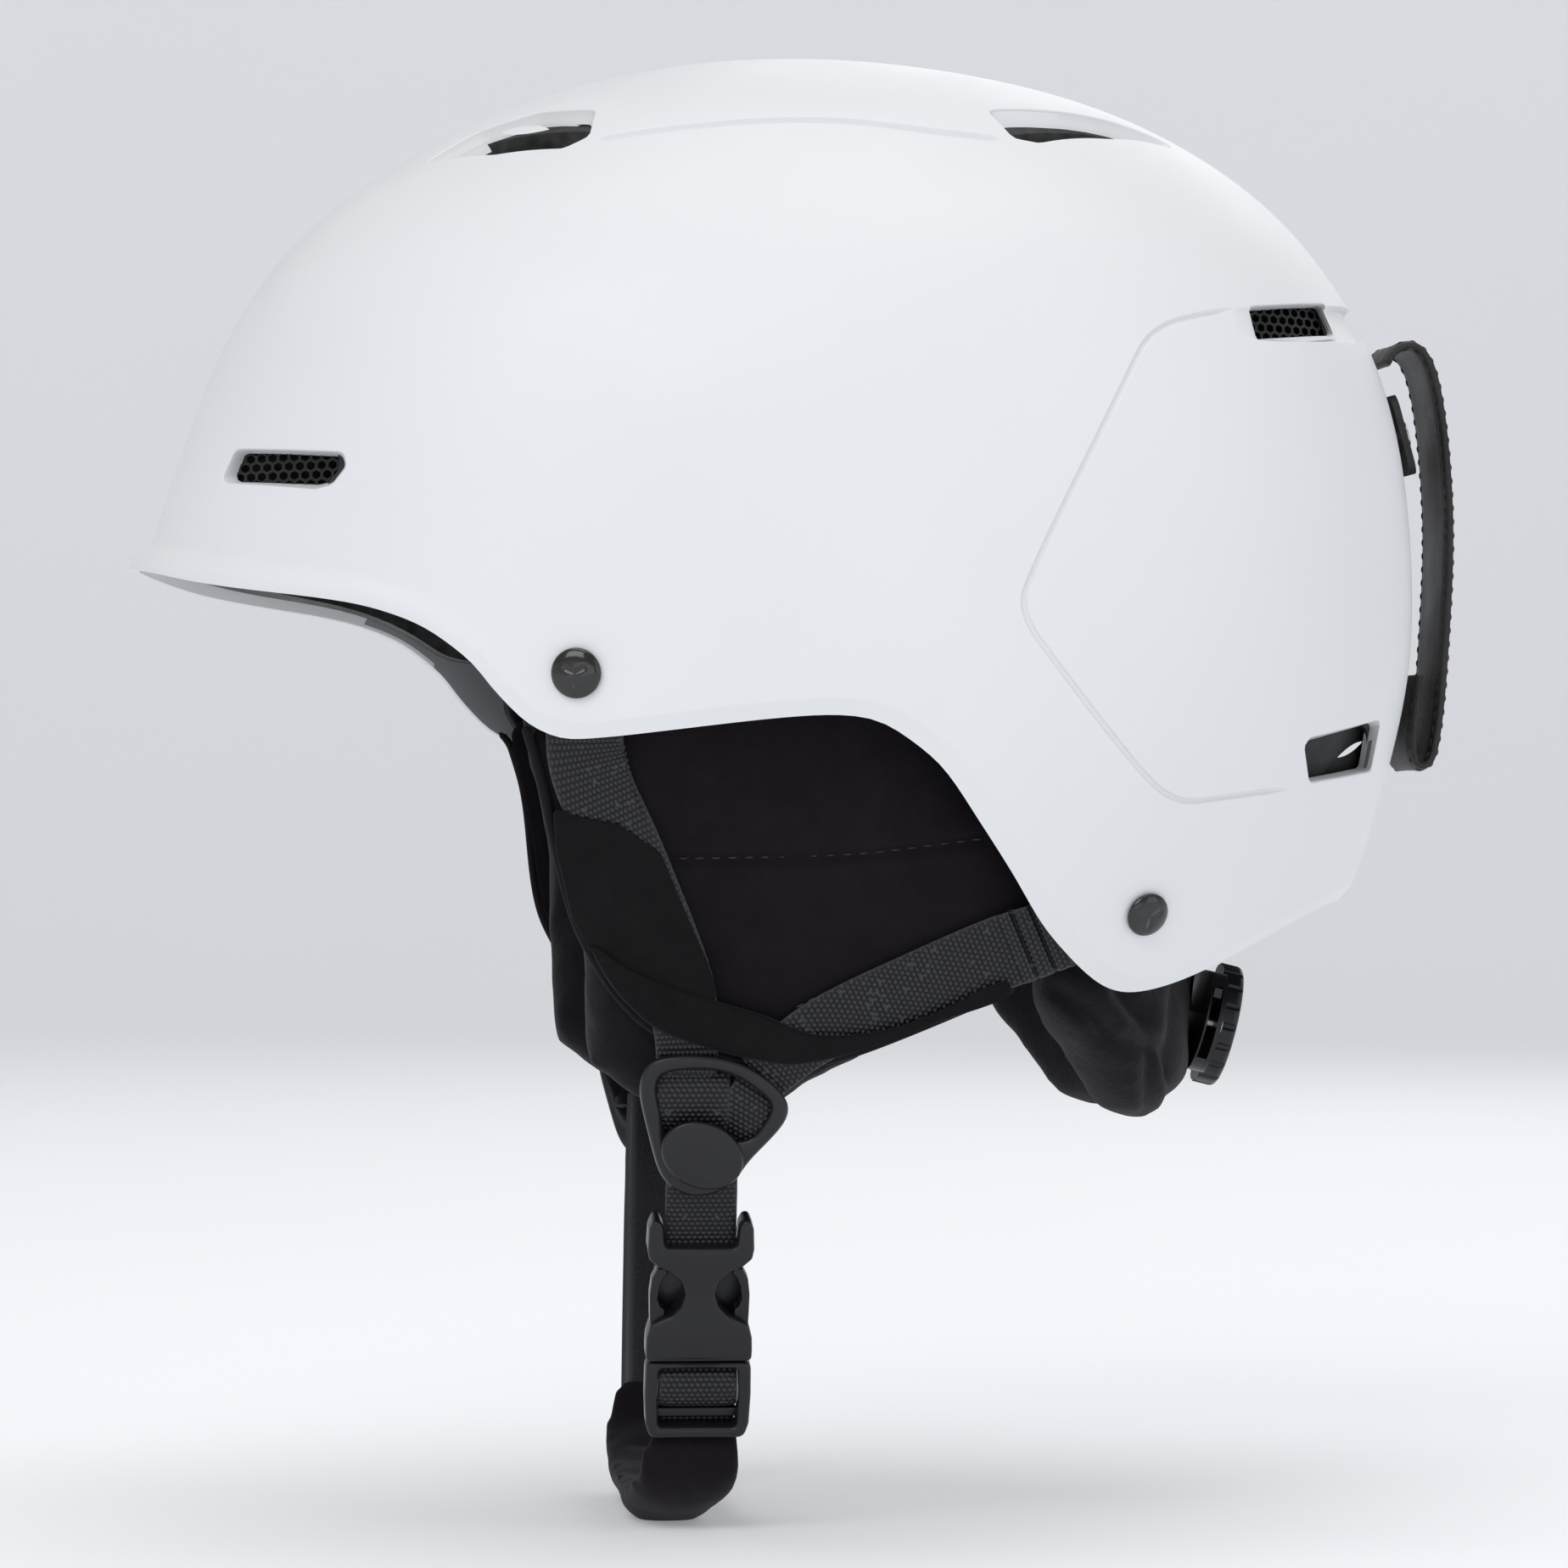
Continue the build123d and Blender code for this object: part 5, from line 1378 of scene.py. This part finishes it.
def add_side_webbing(nylon, thread):
    """The front and rear straps, from their rivets under the shell to the divider, and their stitches."""
    down = along_plane([0.1, 0, -1], FRONT_ANCHOR_OUT)
    top = FRONT_ANCHOR - FRONT_ANCHOR_OUT * UNDER_SHELL
    front = [(top - down * 7, FRONT_ANCHOR_OUT, 16), (top + down * 8, FRONT_ANCHOR_OUT, 16)]
    front += face_stations((-49, -36, 1.9, 16), (-42.5, -52, 1.3, 16), (-34.6, -70, 1.0, 16),
                           (-28.6, -85, 1.0, 15), (-26.8, -95, 1.2, 13.5), (-26.8, -104, 1.6, 12.5))
    pair("front_webbing", webbing(front, "ribs"), "helmet", nylon, ["front_strap"])
    edge = smooth_path([(-41.8, -31), (-40.2, -38), (-37.7, -46), (-34.8, -55)], 60)
    pair("front_webbing_stitching", stitches(on_face(edge, 2.0), FACE_OUT, 0.95, 0.45, 0.22),
         "helmet", thread)

    run = along_plane([-1, -0.2, -0.3], REAR_ANCHOR_OUT)
    top = REAR_ANCHOR - REAR_ANCHOR_OUT * UNDER_SHELL
    rear = [(top - run * 7, REAR_ANCHOR_OUT, 16), (top + run * 7, REAR_ANCHOR_OUT, 16)]
    rear += face_stations((43, -75.6, 1.7, 16.4), (27, -82, 1.3, 16), (12, -88.4, 1.1, 15),
                          (-1, -95, 1.2, 13.5), (-11, -103.5, 1.5, 12))

    def folds(t, u, length):
        """The doubled end of the strap: two hard folds near the shell, tapering into one layer."""
        place = length - t
        bars = sum(np.exp(-((place - spot) / 0.55) ** 2) for spot in (62.5, 66.5))
        doubled = 0.45 * smoothstep(59, 60.2, place)
        return (doubled - 0.75 * bars)[:, None] * np.ones(len(u))[None]

    pair("rear_webbing", webbing(rear, "seeds", crimp=folds), "helmet", nylon, ["rear_strap"])
    edge = smooth_path([
        (42, -68.2), (31.7, -72.1), (22.4, -75.9), (13.1, -80.3), (3.8, -84.6), (-5.5, -89.4)], 90)
    pair("rear_webbing_stitching", stitches(on_face(edge, 2.1), FACE_OUT, 1.6, 1.1, 0.2),
         "helmet", thread)


LOOP_LENGTH = 13.5


def arc_loop(centre_xz, angle, width, bulge):
    """A short webbing loop over a bar: it rises out of the face and goes back in."""
    centre = np.asarray(centre_xz, float)
    run = np.array([math.sin(angle), -math.cos(angle)])
    stations = []
    for k in np.linspace(-1, 1, 9):
        flat = centre + run * k * LOOP_LENGTH / 2
        lift = 1.2 + bulge * math.cos(k * math.pi / 2) ** 0.8
        tilt = unit(FACE_OUT + np.array([run[0], 0, run[1]]) * k * 1.1)
        stations.append((on_face([flat], lift)[0], tilt, width))
    return webbing(stations, "seeds", thick=1.1, relief=0.36, step=0.22, columns=62)


RING_COUNT = 160
RING_CENTRE = np.array([-22.0, -109.5])
DISC_CENTRE = np.array([-23.4, -119.8])
DISC_RADII = (9.0, 6.9)
DISC_TILT = math.radians(-24)


def add_divider(satin, nylon):
    """The strap divider: a smooth ring with a cap, and the webbing looped through its window."""
    outer = smooth_path([
        (-36.6, -105), (-34.6, -100.2), (-28, -98.6), (-18.6, -99.4), (-10.6, -103.2), (-5.4, -109.5),
        (-7.6, -115), (-13.5, -121.5), (-17, -126), (-24, -128.6), (-30.6, -125.6), (-33.6, -119),
        (-35.6, -111.5),
    ], RING_COUNT, closed=True)
    window = smooth_path([
        (-33.2, -105.4), (-31.8, -102.8), (-26.4, -101.7), (-18.4, -102.5), (-12.4, -105.8), (-9, -109.6),
        (-10.6, -113.4), (-13.6, -116.4), (-22, -117), (-30, -116.6), (-32, -111.5),
    ], RING_COUNT, closed=True)
    outer, window = by_angle(outer, RING_CENTRE, RING_COUNT), by_angle(window, RING_CENTRE, RING_COUNT)
    step = unit(window - outer)
    layers = [on_face(outer + step * shift, lift) for shift, lift in (
        (0.3, 2.0), (0, 2.6), (0, 4.0), (0.35, 4.7), (1.0, 5.05))]
    layers += [on_face(window - step * shift, lift) for shift, lift in (
        (1.0, 5.0), (0.35, 4.6), (0, 3.9), (0, 2.5), (0.3, 2.0))]
    ring = np.vstack(layers), grid_faces(len(layers), RING_COUNT, wrap_rows=True, wrap_columns=True)
    pair("divider_ring", ring, "helmet", satin, ["strap_divider"])

    turns = np.arange(72) * 2 * math.pi / 72
    flat = np.column_stack([DISC_RADII[0] * np.cos(turns), DISC_RADII[1] * np.sin(turns)])
    c, s = math.cos(DISC_TILT), math.sin(DISC_TILT)
    flat = flat @ np.array([[c, s], [-s, c]])
    layers = [on_face(DISC_CENTRE + flat * share, lift) for share, lift in (
        (0.05, 5.1), (0.95, 5.1), (1.0, 5.4), (1.0, 6.3), (0.985, 6.8), (0.95, 7.15), (0.9, 7.3), (0.6, 7.5),
        (0.3, 7.58), (0.03, 7.6))]
    pair("divider_disc", tube_mesh(layers), "helmet", satin, ["divider_cap"])
    loops = join_meshes([
        arc_loop((-25.4, -109.2), 0.0, 15.6, 2.2),
        arc_loop((-14.2, -110.8), math.radians(-32), 11.5, 1.9),
    ])
    pair("divider_loops", loops, "helmet", nylon)


def by_angle(outline, centre, count):
    """Points of a star-shaped outline at even angles about a centre."""
    away = outline - centre
    angle = np.unwrap(np.arctan2(away[:, 1], away[:, 0]))
    if angle[-1] < angle[0]:
        outline, angle = outline[::-1], angle[::-1]
    angle = np.concatenate([angle - 2 * math.pi, angle, angle + 2 * math.pi])
    triple = np.vstack([outline] * 3)
    want = np.arange(count) * 2 * math.pi / count
    return np.column_stack([np.interp(want, angle, triple[:, k]) for k in range(2)])


# ------------------------------------------------------------------ buckle and chin straps

SOCKET_HALF = [
    (0, 0), (11.2, 0), (11.3, 2.4), (11.2, 5.2), (10.4, 8.2), (8.8, 9.1), (6, 10.4), (4.1, 12.4), (3.3, 15),
    (4.1, 17.8), (6.4, 20), (9, 21.2), (10.9, 22.9), (11.3, 25), (11.1, 29.5), (10.2, 31.7), (8.8, 31.6),
    (8, 30), (7.7, 26.4), (7.2, 25.6), (0, 25.6),
]
ARM_SHAPE = [
    (6.9, 0.4), (9.3, 0.4), (10.2, 4), (10.5, 10), (10.6, 14.6), (10.2, 18), (9, 20.4), (7.4, 20.7),
    (6.7, 19.4), (7.7, 18.4), (8.5, 16.6), (8.9, 13.6), (8.2, 11.8), (7.3, 11.2), (7.4, 9.6), (8.4, 8.8),
    (8.1, 4),
]
FRAME_SHAPE = [
    (-11.2, -0.3), (11.2, -0.3), (11.3, -8), (11, -14.4), (10, -17.6), (-10, -17.6), (-11, -14.4),
    (-11.3, -8),
]
FRAME_WINDOW = [(-8.4, -1.9), (8.4, -1.9), (8.6, -8), (8.3, -15.2), (-8.3, -15.2), (-8.6, -8)]
FRAME_CENTRE = np.array([0, -8.6])
FRAME_COUNT = 240


def mirrored_half(half):
    """A closed outline from its right half, whose ends are on the centre line."""
    half = np.asarray(half, float)
    return np.vstack([half, (half[1:-1] * [-1, 1])[::-1]])


def block(half_wide, low, high):
    """The outline of an upright rectangle astride the buckle's middle line."""
    return [(-half_wide, low), (half_wide, low), (half_wide, high), (-half_wide, high)]


def bevelled_plate(name, outline, low, high, bevel, body, material):
    """A plate of the buckle over any outline, its rims rounded by a bevel modifier."""
    piece = make(name, *tube_mesh([on_buckle(outline, low), on_buckle(outline, high)]), body, material)
    add_modifier(piece, "BEVEL", width=bevel * MM, segments=3, limit_method="ANGLE",
                 angle_limit=math.radians(55), use_clamp_overlap=False)
    apply_modifiers(piece)
    piece.data.set_sharp_from_angle(angle=math.radians(40))
    return piece


def crown_plate(piece, rise, half):
    """Swells a plate's outer face a little towards its middle line."""
    places = vertex_places(piece.data)
    lift = (places - BUCKLE_MOUTH) @ BUCKLE_OUT
    swell = rise * (1 - (np.clip(np.abs(places[:, 0] - BUCKLE_MOUTH[0]) / half, 0, 1)) ** 2)
    set_places(piece.data, places + BUCKLE_OUT * (swell * (lift > 3.3))[:, None])


def add_buckle(satin, satin_shade, nylon):
    """The side-release buckle: socket, two prongs, adjuster frame with its bar and tongue, and webbing."""
    socket = rounded(mirrored_half(SOCKET_HALF), 1.1, 300)
    piece = bevelled_plate("buckle_socket_body", socket, -3.5, 3.5, 0.8, "helmet", satin)
    crown_plate(piece, 0.35, 12.0)
    # The socket's back, seen through its window, takes the darker copy of the satin: painted shade.
    back = bevelled_plate("buckle_socket_back", rounded(block(9.4, 8, 22.4), 1.5, 80),
                          -3.3, -2.5, 0.2, "helmet", satin_shade)
    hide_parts("buckle_socket")

    for name, side, body in (("front", -1, "arm_front"), ("rear", 1, "arm_rear")):
        outline = rounded(np.array(ARM_SHAPE) * [side, 1], 0.5, 150)
        arm = bevelled_plate("buckle_prong_" + name, outline, -2.1, 2.1, 0.35, body, satin_shade)
        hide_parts("buckle_arm_" + name)

    outer = by_angle(rounded(FRAME_SHAPE, 2.0, FRAME_COUNT), FRAME_CENTRE, FRAME_COUNT)
    window = by_angle(rounded(FRAME_WINDOW, 1.2, FRAME_COUNT), FRAME_CENTRE, FRAME_COUNT)
    step = unit(window - outer)
    rim = [(0.9, -2.9), (0.3, -2.65), (0, -2.0), (0, 2.0), (0.3, 2.65), (0.9, 2.9)]
    layers = [on_buckle(outer + step * shift, lift) for shift, lift in rim]
    layers += [on_buckle(window - step * shift, lift) for shift, lift in rim[::-1]]
    ring = np.vstack(layers), grid_faces(len(layers), FRAME_COUNT, wrap_rows=True, wrap_columns=True)
    frame_piece = make("buckle_adjuster", *ring, "chin_release", satin)
    frame_piece.data.set_sharp_from_angle(angle=math.radians(50))
    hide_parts("buckle_frame")
    bar = bevelled_plate("adjuster_bar", rounded(block(8.9, -13.6, -11.6), 0.4, 60),
                         -1.6, 0.2, 0.3, "chin_release", satin_shade)
    tongue = bevelled_plate("buckle_tongue", rounded(block(1.6, -1.2, 12.6), 0.5, 60),
                            -1.2, 1.2, 0.3, "chin_release", satin_shade)

    wrap = []
    for turn in np.linspace(-0.75, 1.0, 12) * math.pi / 2:
        out = BUCKLE_UP * math.sin(turn) + BUCKLE_OUT * math.cos(turn)
        spot = on_buckle([(0, -6.6 + 4.2 * math.sin(turn))], -1.0 + 3.0 * math.cos(turn))[0]
        wrap.append((spot, out, 16.6))
    wrap = wrap[::-1] + buckle_stations(
        (-11.4, -1.9, 16.6), (-13.6, -2.9, 16.6), (-16, -3.2, 16.4), (-21, -2.4, 16))
    loop = make("chin_webbing_lower", *webbing(wrap, "seeds", 1.1, 0.38, 0.22, 66), "chin_release", nylon)
    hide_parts("chin_strap_lower")


def add_chin_webbing(nylon):
    """The webbing from the divider into the buckle, and the far side's down to the chin pad."""
    foot = on_face([(CHIN_X, -128)], 1.0)[0]
    stations = face_stations((CHIN_X, -113, 1.2, 14.4), (CHIN_X, -121, 1.0, 15))
    stations.append((foot, unit(FACE_OUT + BUCKLE_OUT), 15.2))
    stations += buckle_stations((30, -0.2, 15.2), (24, -0.6, 15.2))
    left = make("chin_webbing_left", *webbing(stations, "seeds", 1.3, 0.38, 0.24, 62), "helmet", nylon)
    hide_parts("chin_strap_left")

    flip = np.array([1, -1, 1])
    end = on_buckle([(0, -20.5)])[0] * flip - [2, 0, 0]
    start = on_face([(CHIN_X, -113)], 1.2)[0] * flip
    knee = foot * flip
    out = FACE_OUT * flip
    stations = [(start, out, 14.4), (on_face([(CHIN_X, -121)], 1.0)[0] * flip, out, 15.4), (knee, out, 16)]
    for share in (0.2, 0.4, 0.6, 0.8, 1.0):
        spot = knee + (end - knee) * share
        spot[1] += 1.2 * math.sin(share * math.pi)
        stations.append((spot, out, 16))
    right = make("chin_webbing_right", *webbing(stations, "diagonal", 1.3, 0.36, 0.24, 34), None, nylon)
    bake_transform(right)
    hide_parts("chin_strap_right")


# ------------------------------------------------------------------ rivets, grilles and trim

def lathe(profile, origin, axis, sides=56):
    """A closed turned shape from (radius, height) points along an axis."""
    axis = unit(axis)
    first = unit(np.cross(axis, [0.2, 0.1, 1.0]))
    second = np.cross(axis, first)
    turns = np.arange(sides) * 2 * math.pi / sides
    rings = []
    for radius, height in profile:
        spoke = first * np.cos(turns)[:, None] + second * np.sin(turns)[:, None]
        rings.append(origin + axis * height + spoke * radius)
    return tube_mesh(rings)


def add_rivets(gloss):
    """Domed caps with a soft three-legged dimple, and their shanks."""
    for name, spot, out, radius, node in (
            ("anchor_cap_front", FRONT_ANCHOR, FRONT_ANCHOR_OUT, 5.25, "anchor_rivets_front"),
            ("anchor_cap_rear", REAR_ANCHOR, REAR_ANCHOR_OUT, 4.75, "anchor_rivets_rear")):
        profile = [(0.02, -7.4), (1.9, -7.4), (1.9, 0.55)]
        profile += [(radius - 0.35, 0.55), (radius - 0.05, 0.75), (radius, 1.05)]
        profile += [(radius * math.cos(a) ** 0.9, 1.05 + 1.7 * math.sin(a))
                    for a in np.linspace(0.12, 1.5, 16)]
        profile.append((0.02, 2.75))
        vertices, faces = lathe(profile, spot, out)
        away = (vertices - spot) @ out
        flat = vertices - spot - away[:, None] * out
        right = unit(np.cross(out, [0, 0, 1.0]))
        x, y = flat @ right, flat @ np.cross(right, out)
        dent = np.zeros(len(vertices))
        for turn in (0.5, 2.6, 4.7):
            leg = np.array([math.cos(turn), math.sin(turn)])
            reach = np.clip(x * leg[0] + y * leg[1], 0, 2.2)
            gap = np.hypot(x - reach * leg[0], y - reach * leg[1])
            dent = np.maximum(dent, np.exp(-(gap / 0.55) ** 2))
        vertices = vertices - out * (0.34 * dent * (away > 1.2))[:, None]
        piece = make(name, *both_sides((vertices, faces)), "helmet", gloss)
        piece.data.set_sharp_from_angle(angle=math.radians(55))
        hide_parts(node)


CELL = 2.25
CELL_BAR = 0.27             # share of a cell's radius that is plastic
GRILLE_THICK = 0.9


def hex_grille(outline, place):
    """A honeycomb of real openings over an outline, laid on a surface."""
    outline = np.asarray(outline, float)
    low, high = outline.min(axis=0) - CELL, outline.max(axis=0) + CELL
    parts = []
    rows = int((high[1] - low[1]) / (CELL * 0.866)) + 1
    columns = int((high[0] - low[0]) / CELL) + 1
    turns = (np.arange(6) + 0.5) * math.pi / 3
    hexagon = np.column_stack([np.cos(turns), np.sin(turns)]) * CELL / math.sqrt(3)
    for i in range(rows):
        for j in range(columns):
            centre = low + [CELL * (j + 0.5 * (i % 2)), CELL * 0.866 * i]
            if not inside_outline(centre, outline):
                continue
            outer, inner = centre + hexagon, centre + hexagon * (1 - CELL_BAR)
            layers = [place(ring, lift) for ring, lift in (
                (outer, 0.0), (inner, 0.0), (inner, GRILLE_THICK), (outer, GRILLE_THICK))]
            parts.append((np.vstack(layers), grid_faces(4, 6, wrap_rows=True, wrap_columns=True)))
    return join_meshes(parts)


def inside_outline(point, outline):
    x, z = point
    crossing = False
    for (x1, z1), (x2, z2) in zip(outline, np.roll(outline, -1, axis=0)):
        if (z1 > z) != (z2 > z) and x < (x2 - x1) * (z - z1) / (z2 - z1) + x1:
            crossing = not crossing
    return crossing


def grown(outline, by):
    """An outline pushed outwards from its middle."""
    outline = np.asarray(outline, float)
    centre = outline.mean(axis=0)
    return outline + unit(outline - centre) * by


def add_grilles(plastic):
    for name, outline, depth, into, node in (
            ("front_vent_grille", FRONT_VENT_FOOT, 5.6, SIDEWAYS_FRONT, "vent_mesh_front"),
            ("rear_vent_grille", REAR_WINDOW_FOOT, 6.0, SIDEWAYS_REAR, "vent_mesh_rear")):
        def place(points, lift, depth=depth, into=unit(into)):
            return from_side(points) + into * (depth + lift)
        part = hex_grille(grown(outline, 2.2), place)
        piece = make(name, *both_sides(part), "helmet", plastic, smooth=False)
        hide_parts(node)
    rim = from_side(grown(rounded(REAR_LOW_FOOT, 1.2, 60), 3.5))
    plate = tube_mesh([rim + unit(SIDEWAYS_REAR) * deep for deep in (8.4, 9.6)])
    backing = make("rear_duct_backing", *both_sides(plate), "helmet", plastic, smooth=False)


RETAINER_PATH = [
    (131.9, 50.6), (134, 53.6), (137.4, 54.6), (140.6, 52), (143.2, 44), (145, 30), (145.8, 12), (145, -8),
    (143.8, -24), (142.6, -33), (141.2, -37), (139.2, -38), (137.8, -35.6), (138, -28), (139.4, -18),
]
RETAINER_HALF = 16
RETAINER_SEAM = 13.7        # from the middle line to each row of stitches


def add_retainer(leather, thread):
    """The goggle strap retainer: two leather plies with rounded edges and a stitched border."""
    path = smooth_path(RETAINER_PATH, 170)
    tangent = unit(np.gradient(path, axis=0))
    normal = np.column_stack([tangent[:, 1], -tangent[:, 0]])
    if normal[85, 0] < 0:
        normal = -normal
    u = np.linspace(-1, 1, 25)
    span = np.linspace(0, 1, len(path))
    half = RETAINER_HALF * (1 - 0.10 * np.exp(-((1 - span) / 0.03) ** 2))
    across = half[:, None] * u[None]
    thick = 0.95 * (1 - 0.5 * np.abs(u) ** 12)
    swell = 0.16 * np.exp(-((np.abs(across) - 11.4) / 1.6) ** 2)
    swell -= 0.2 * np.exp(-((np.abs(across) - RETAINER_SEAM) / 0.5) ** 2)
    front_lift = thick[None] + swell
    back_lift = -thick[None] - swell * 0.6

    def lay(lift):
        x, z = path[:, :1] + normal[:, :1] * lift, path[:, 1:] + normal[:, 1:] * lift
        return np.stack([x, across, z], axis=-1)

    rings = np.concatenate([lay(front_lift), lay(back_lift)[:, ::-1]], axis=1)
    piece = make("retainer_leather", *tube_mesh(rings), "retainer", leather)
    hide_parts("retainer_strap")
    rows = []
    for side in (-1, 1):
        for face in (-1, 1):
            lift = 0.82 * face
            seam = path + normal * lift
            line = np.column_stack([seam[:, 0], np.full(len(path), side * RETAINER_SEAM), seam[:, 1]])
            out = np.column_stack([normal[:, 0] * face, np.zeros(len(path)), normal[:, 1] * face])
            rows.append(stitches(line[5:-4], out[5:-4], 2.0, 1.0, 0.24))
    seams = make("retainer_stitching", *join_meshes(rows), "retainer", thread)


def dress_cad(materials):
    """Gives each CAD node that is still shown its material."""
    slots = {row["node"]: row["material_slot"] for row in frame["record"]["subparts"]}
    for name, node in frame["nodes"].items():
        if node.hide_render:
            continue
        node.data.materials.clear()
        node.data.materials.append(materials[slots[name]])


PIVOT = np.array([92.5, 0, -42])    # the yoke pin, which the nape cradle swings on


def add_nape_strut(plastic):
    """The springy plastic arm that hangs the nape cradle from its pivot, with an eye round the pin."""
    path = smooth_path([(0.0, -3.4), (0.0, -12), (-0.8, -24), (-2.6, -38), (-4.1, -50)], 26)
    across_share, deep_share = round_square(np.arange(32) * 2 * math.pi / 32, 0.45)
    rings = []
    for (x, z), share in zip(path, np.linspace(0, 1, len(path))):
        across = across_share * (7 - 1.5 * math.sin(share * math.pi))
        deep = deep_share * (1.7 - 0.5 * share)
        rings.append(np.column_stack([PIVOT[0] + x + deep, across, np.full(len(across), PIVOT[2] + z)]))
    eye = lathe([(1.6, -7), (3.2, -7), (3.6, -6.6), (3.6, 6.6), (3.2, 7), (1.6, 7)], PIVOT, [0, 1, 0], 48)
    piece = make("nape_strut", *join_meshes([tube_mesh(rings), eye]), "nape_cradle", plastic)
    piece.data.set_sharp_from_angle(angle=math.radians(45))


# ------------------------------------------------------------------ build

FLOOR_LEVEL = -0.2016       # metres; the chin pad rests on the floor

white = shell_material()
# The grey for the shell's inside is painted shade on the white plastic.
inside = shell_inside_shade_material()
foam = foam_material()
fleece = fleece_material("brushed_fleece", (0.0062, 0.0058, 0.0072))
nape_cloth = fleece_material("nape_fleece", (0.0075, 0.0072, 0.0085))
softshell = softshell_material("softshell_knit", (0.0072, 0.0056, 0.0068))
sleeve_knit = softshell_material("sleeve_knit", (0.0060, 0.0056, 0.0062))
binding = softshell_material("edge_binding", (0.0105, 0.0090, 0.0108))
nylon = webbing_material()
thread = thread_material()
leather = leather_material()
satin = moulded_material("satin_acetal", (0.0095, 0.0095, 0.0120), 0.34)
# A darker copy of the satin acetal for the pieces set back in recesses or under others: painted shade.
satin_shade = moulded_material("satin_acetal_painted_shade", (0.0070, 0.0070, 0.0090), 0.30)
grille_plastic = moulded_material("grille_plastic", (0.008, 0.008, 0.008), 0.5)
gloss = moulded_material("gloss_black", (0.006, 0.006, 0.006), 0.12, 2600, 0.03, 0.6)
steel = steel_material()

add_camera()
add_studio()
add_floor(FLOOR_LEVEL)
add_shell(white, inside)
add_grilles(grille_plastic)
add_rivets(gloss)
add_ear_flaps(softshell, binding, thread)
add_strap_sleeves(sleeve_knit)
add_side_webbing(nylon, thread)
add_divider(satin, nylon)
add_buckle(satin, satin_shade, nylon)
add_chin_webbing(nylon)
add_retainer(leather, thread)
add_nape_strut(satin_shade)
add_cushions(fleece, nape_cloth, softshell)
dress_cad({
    "shell": white, "foam": foam, "grille": grille_plastic, "fleece": fleece, "softshell": softshell,
    "webbing": nylon, "charcoal_plastic": satin, "rivet_black": gloss, "leather": leather, "steel": steel,
})
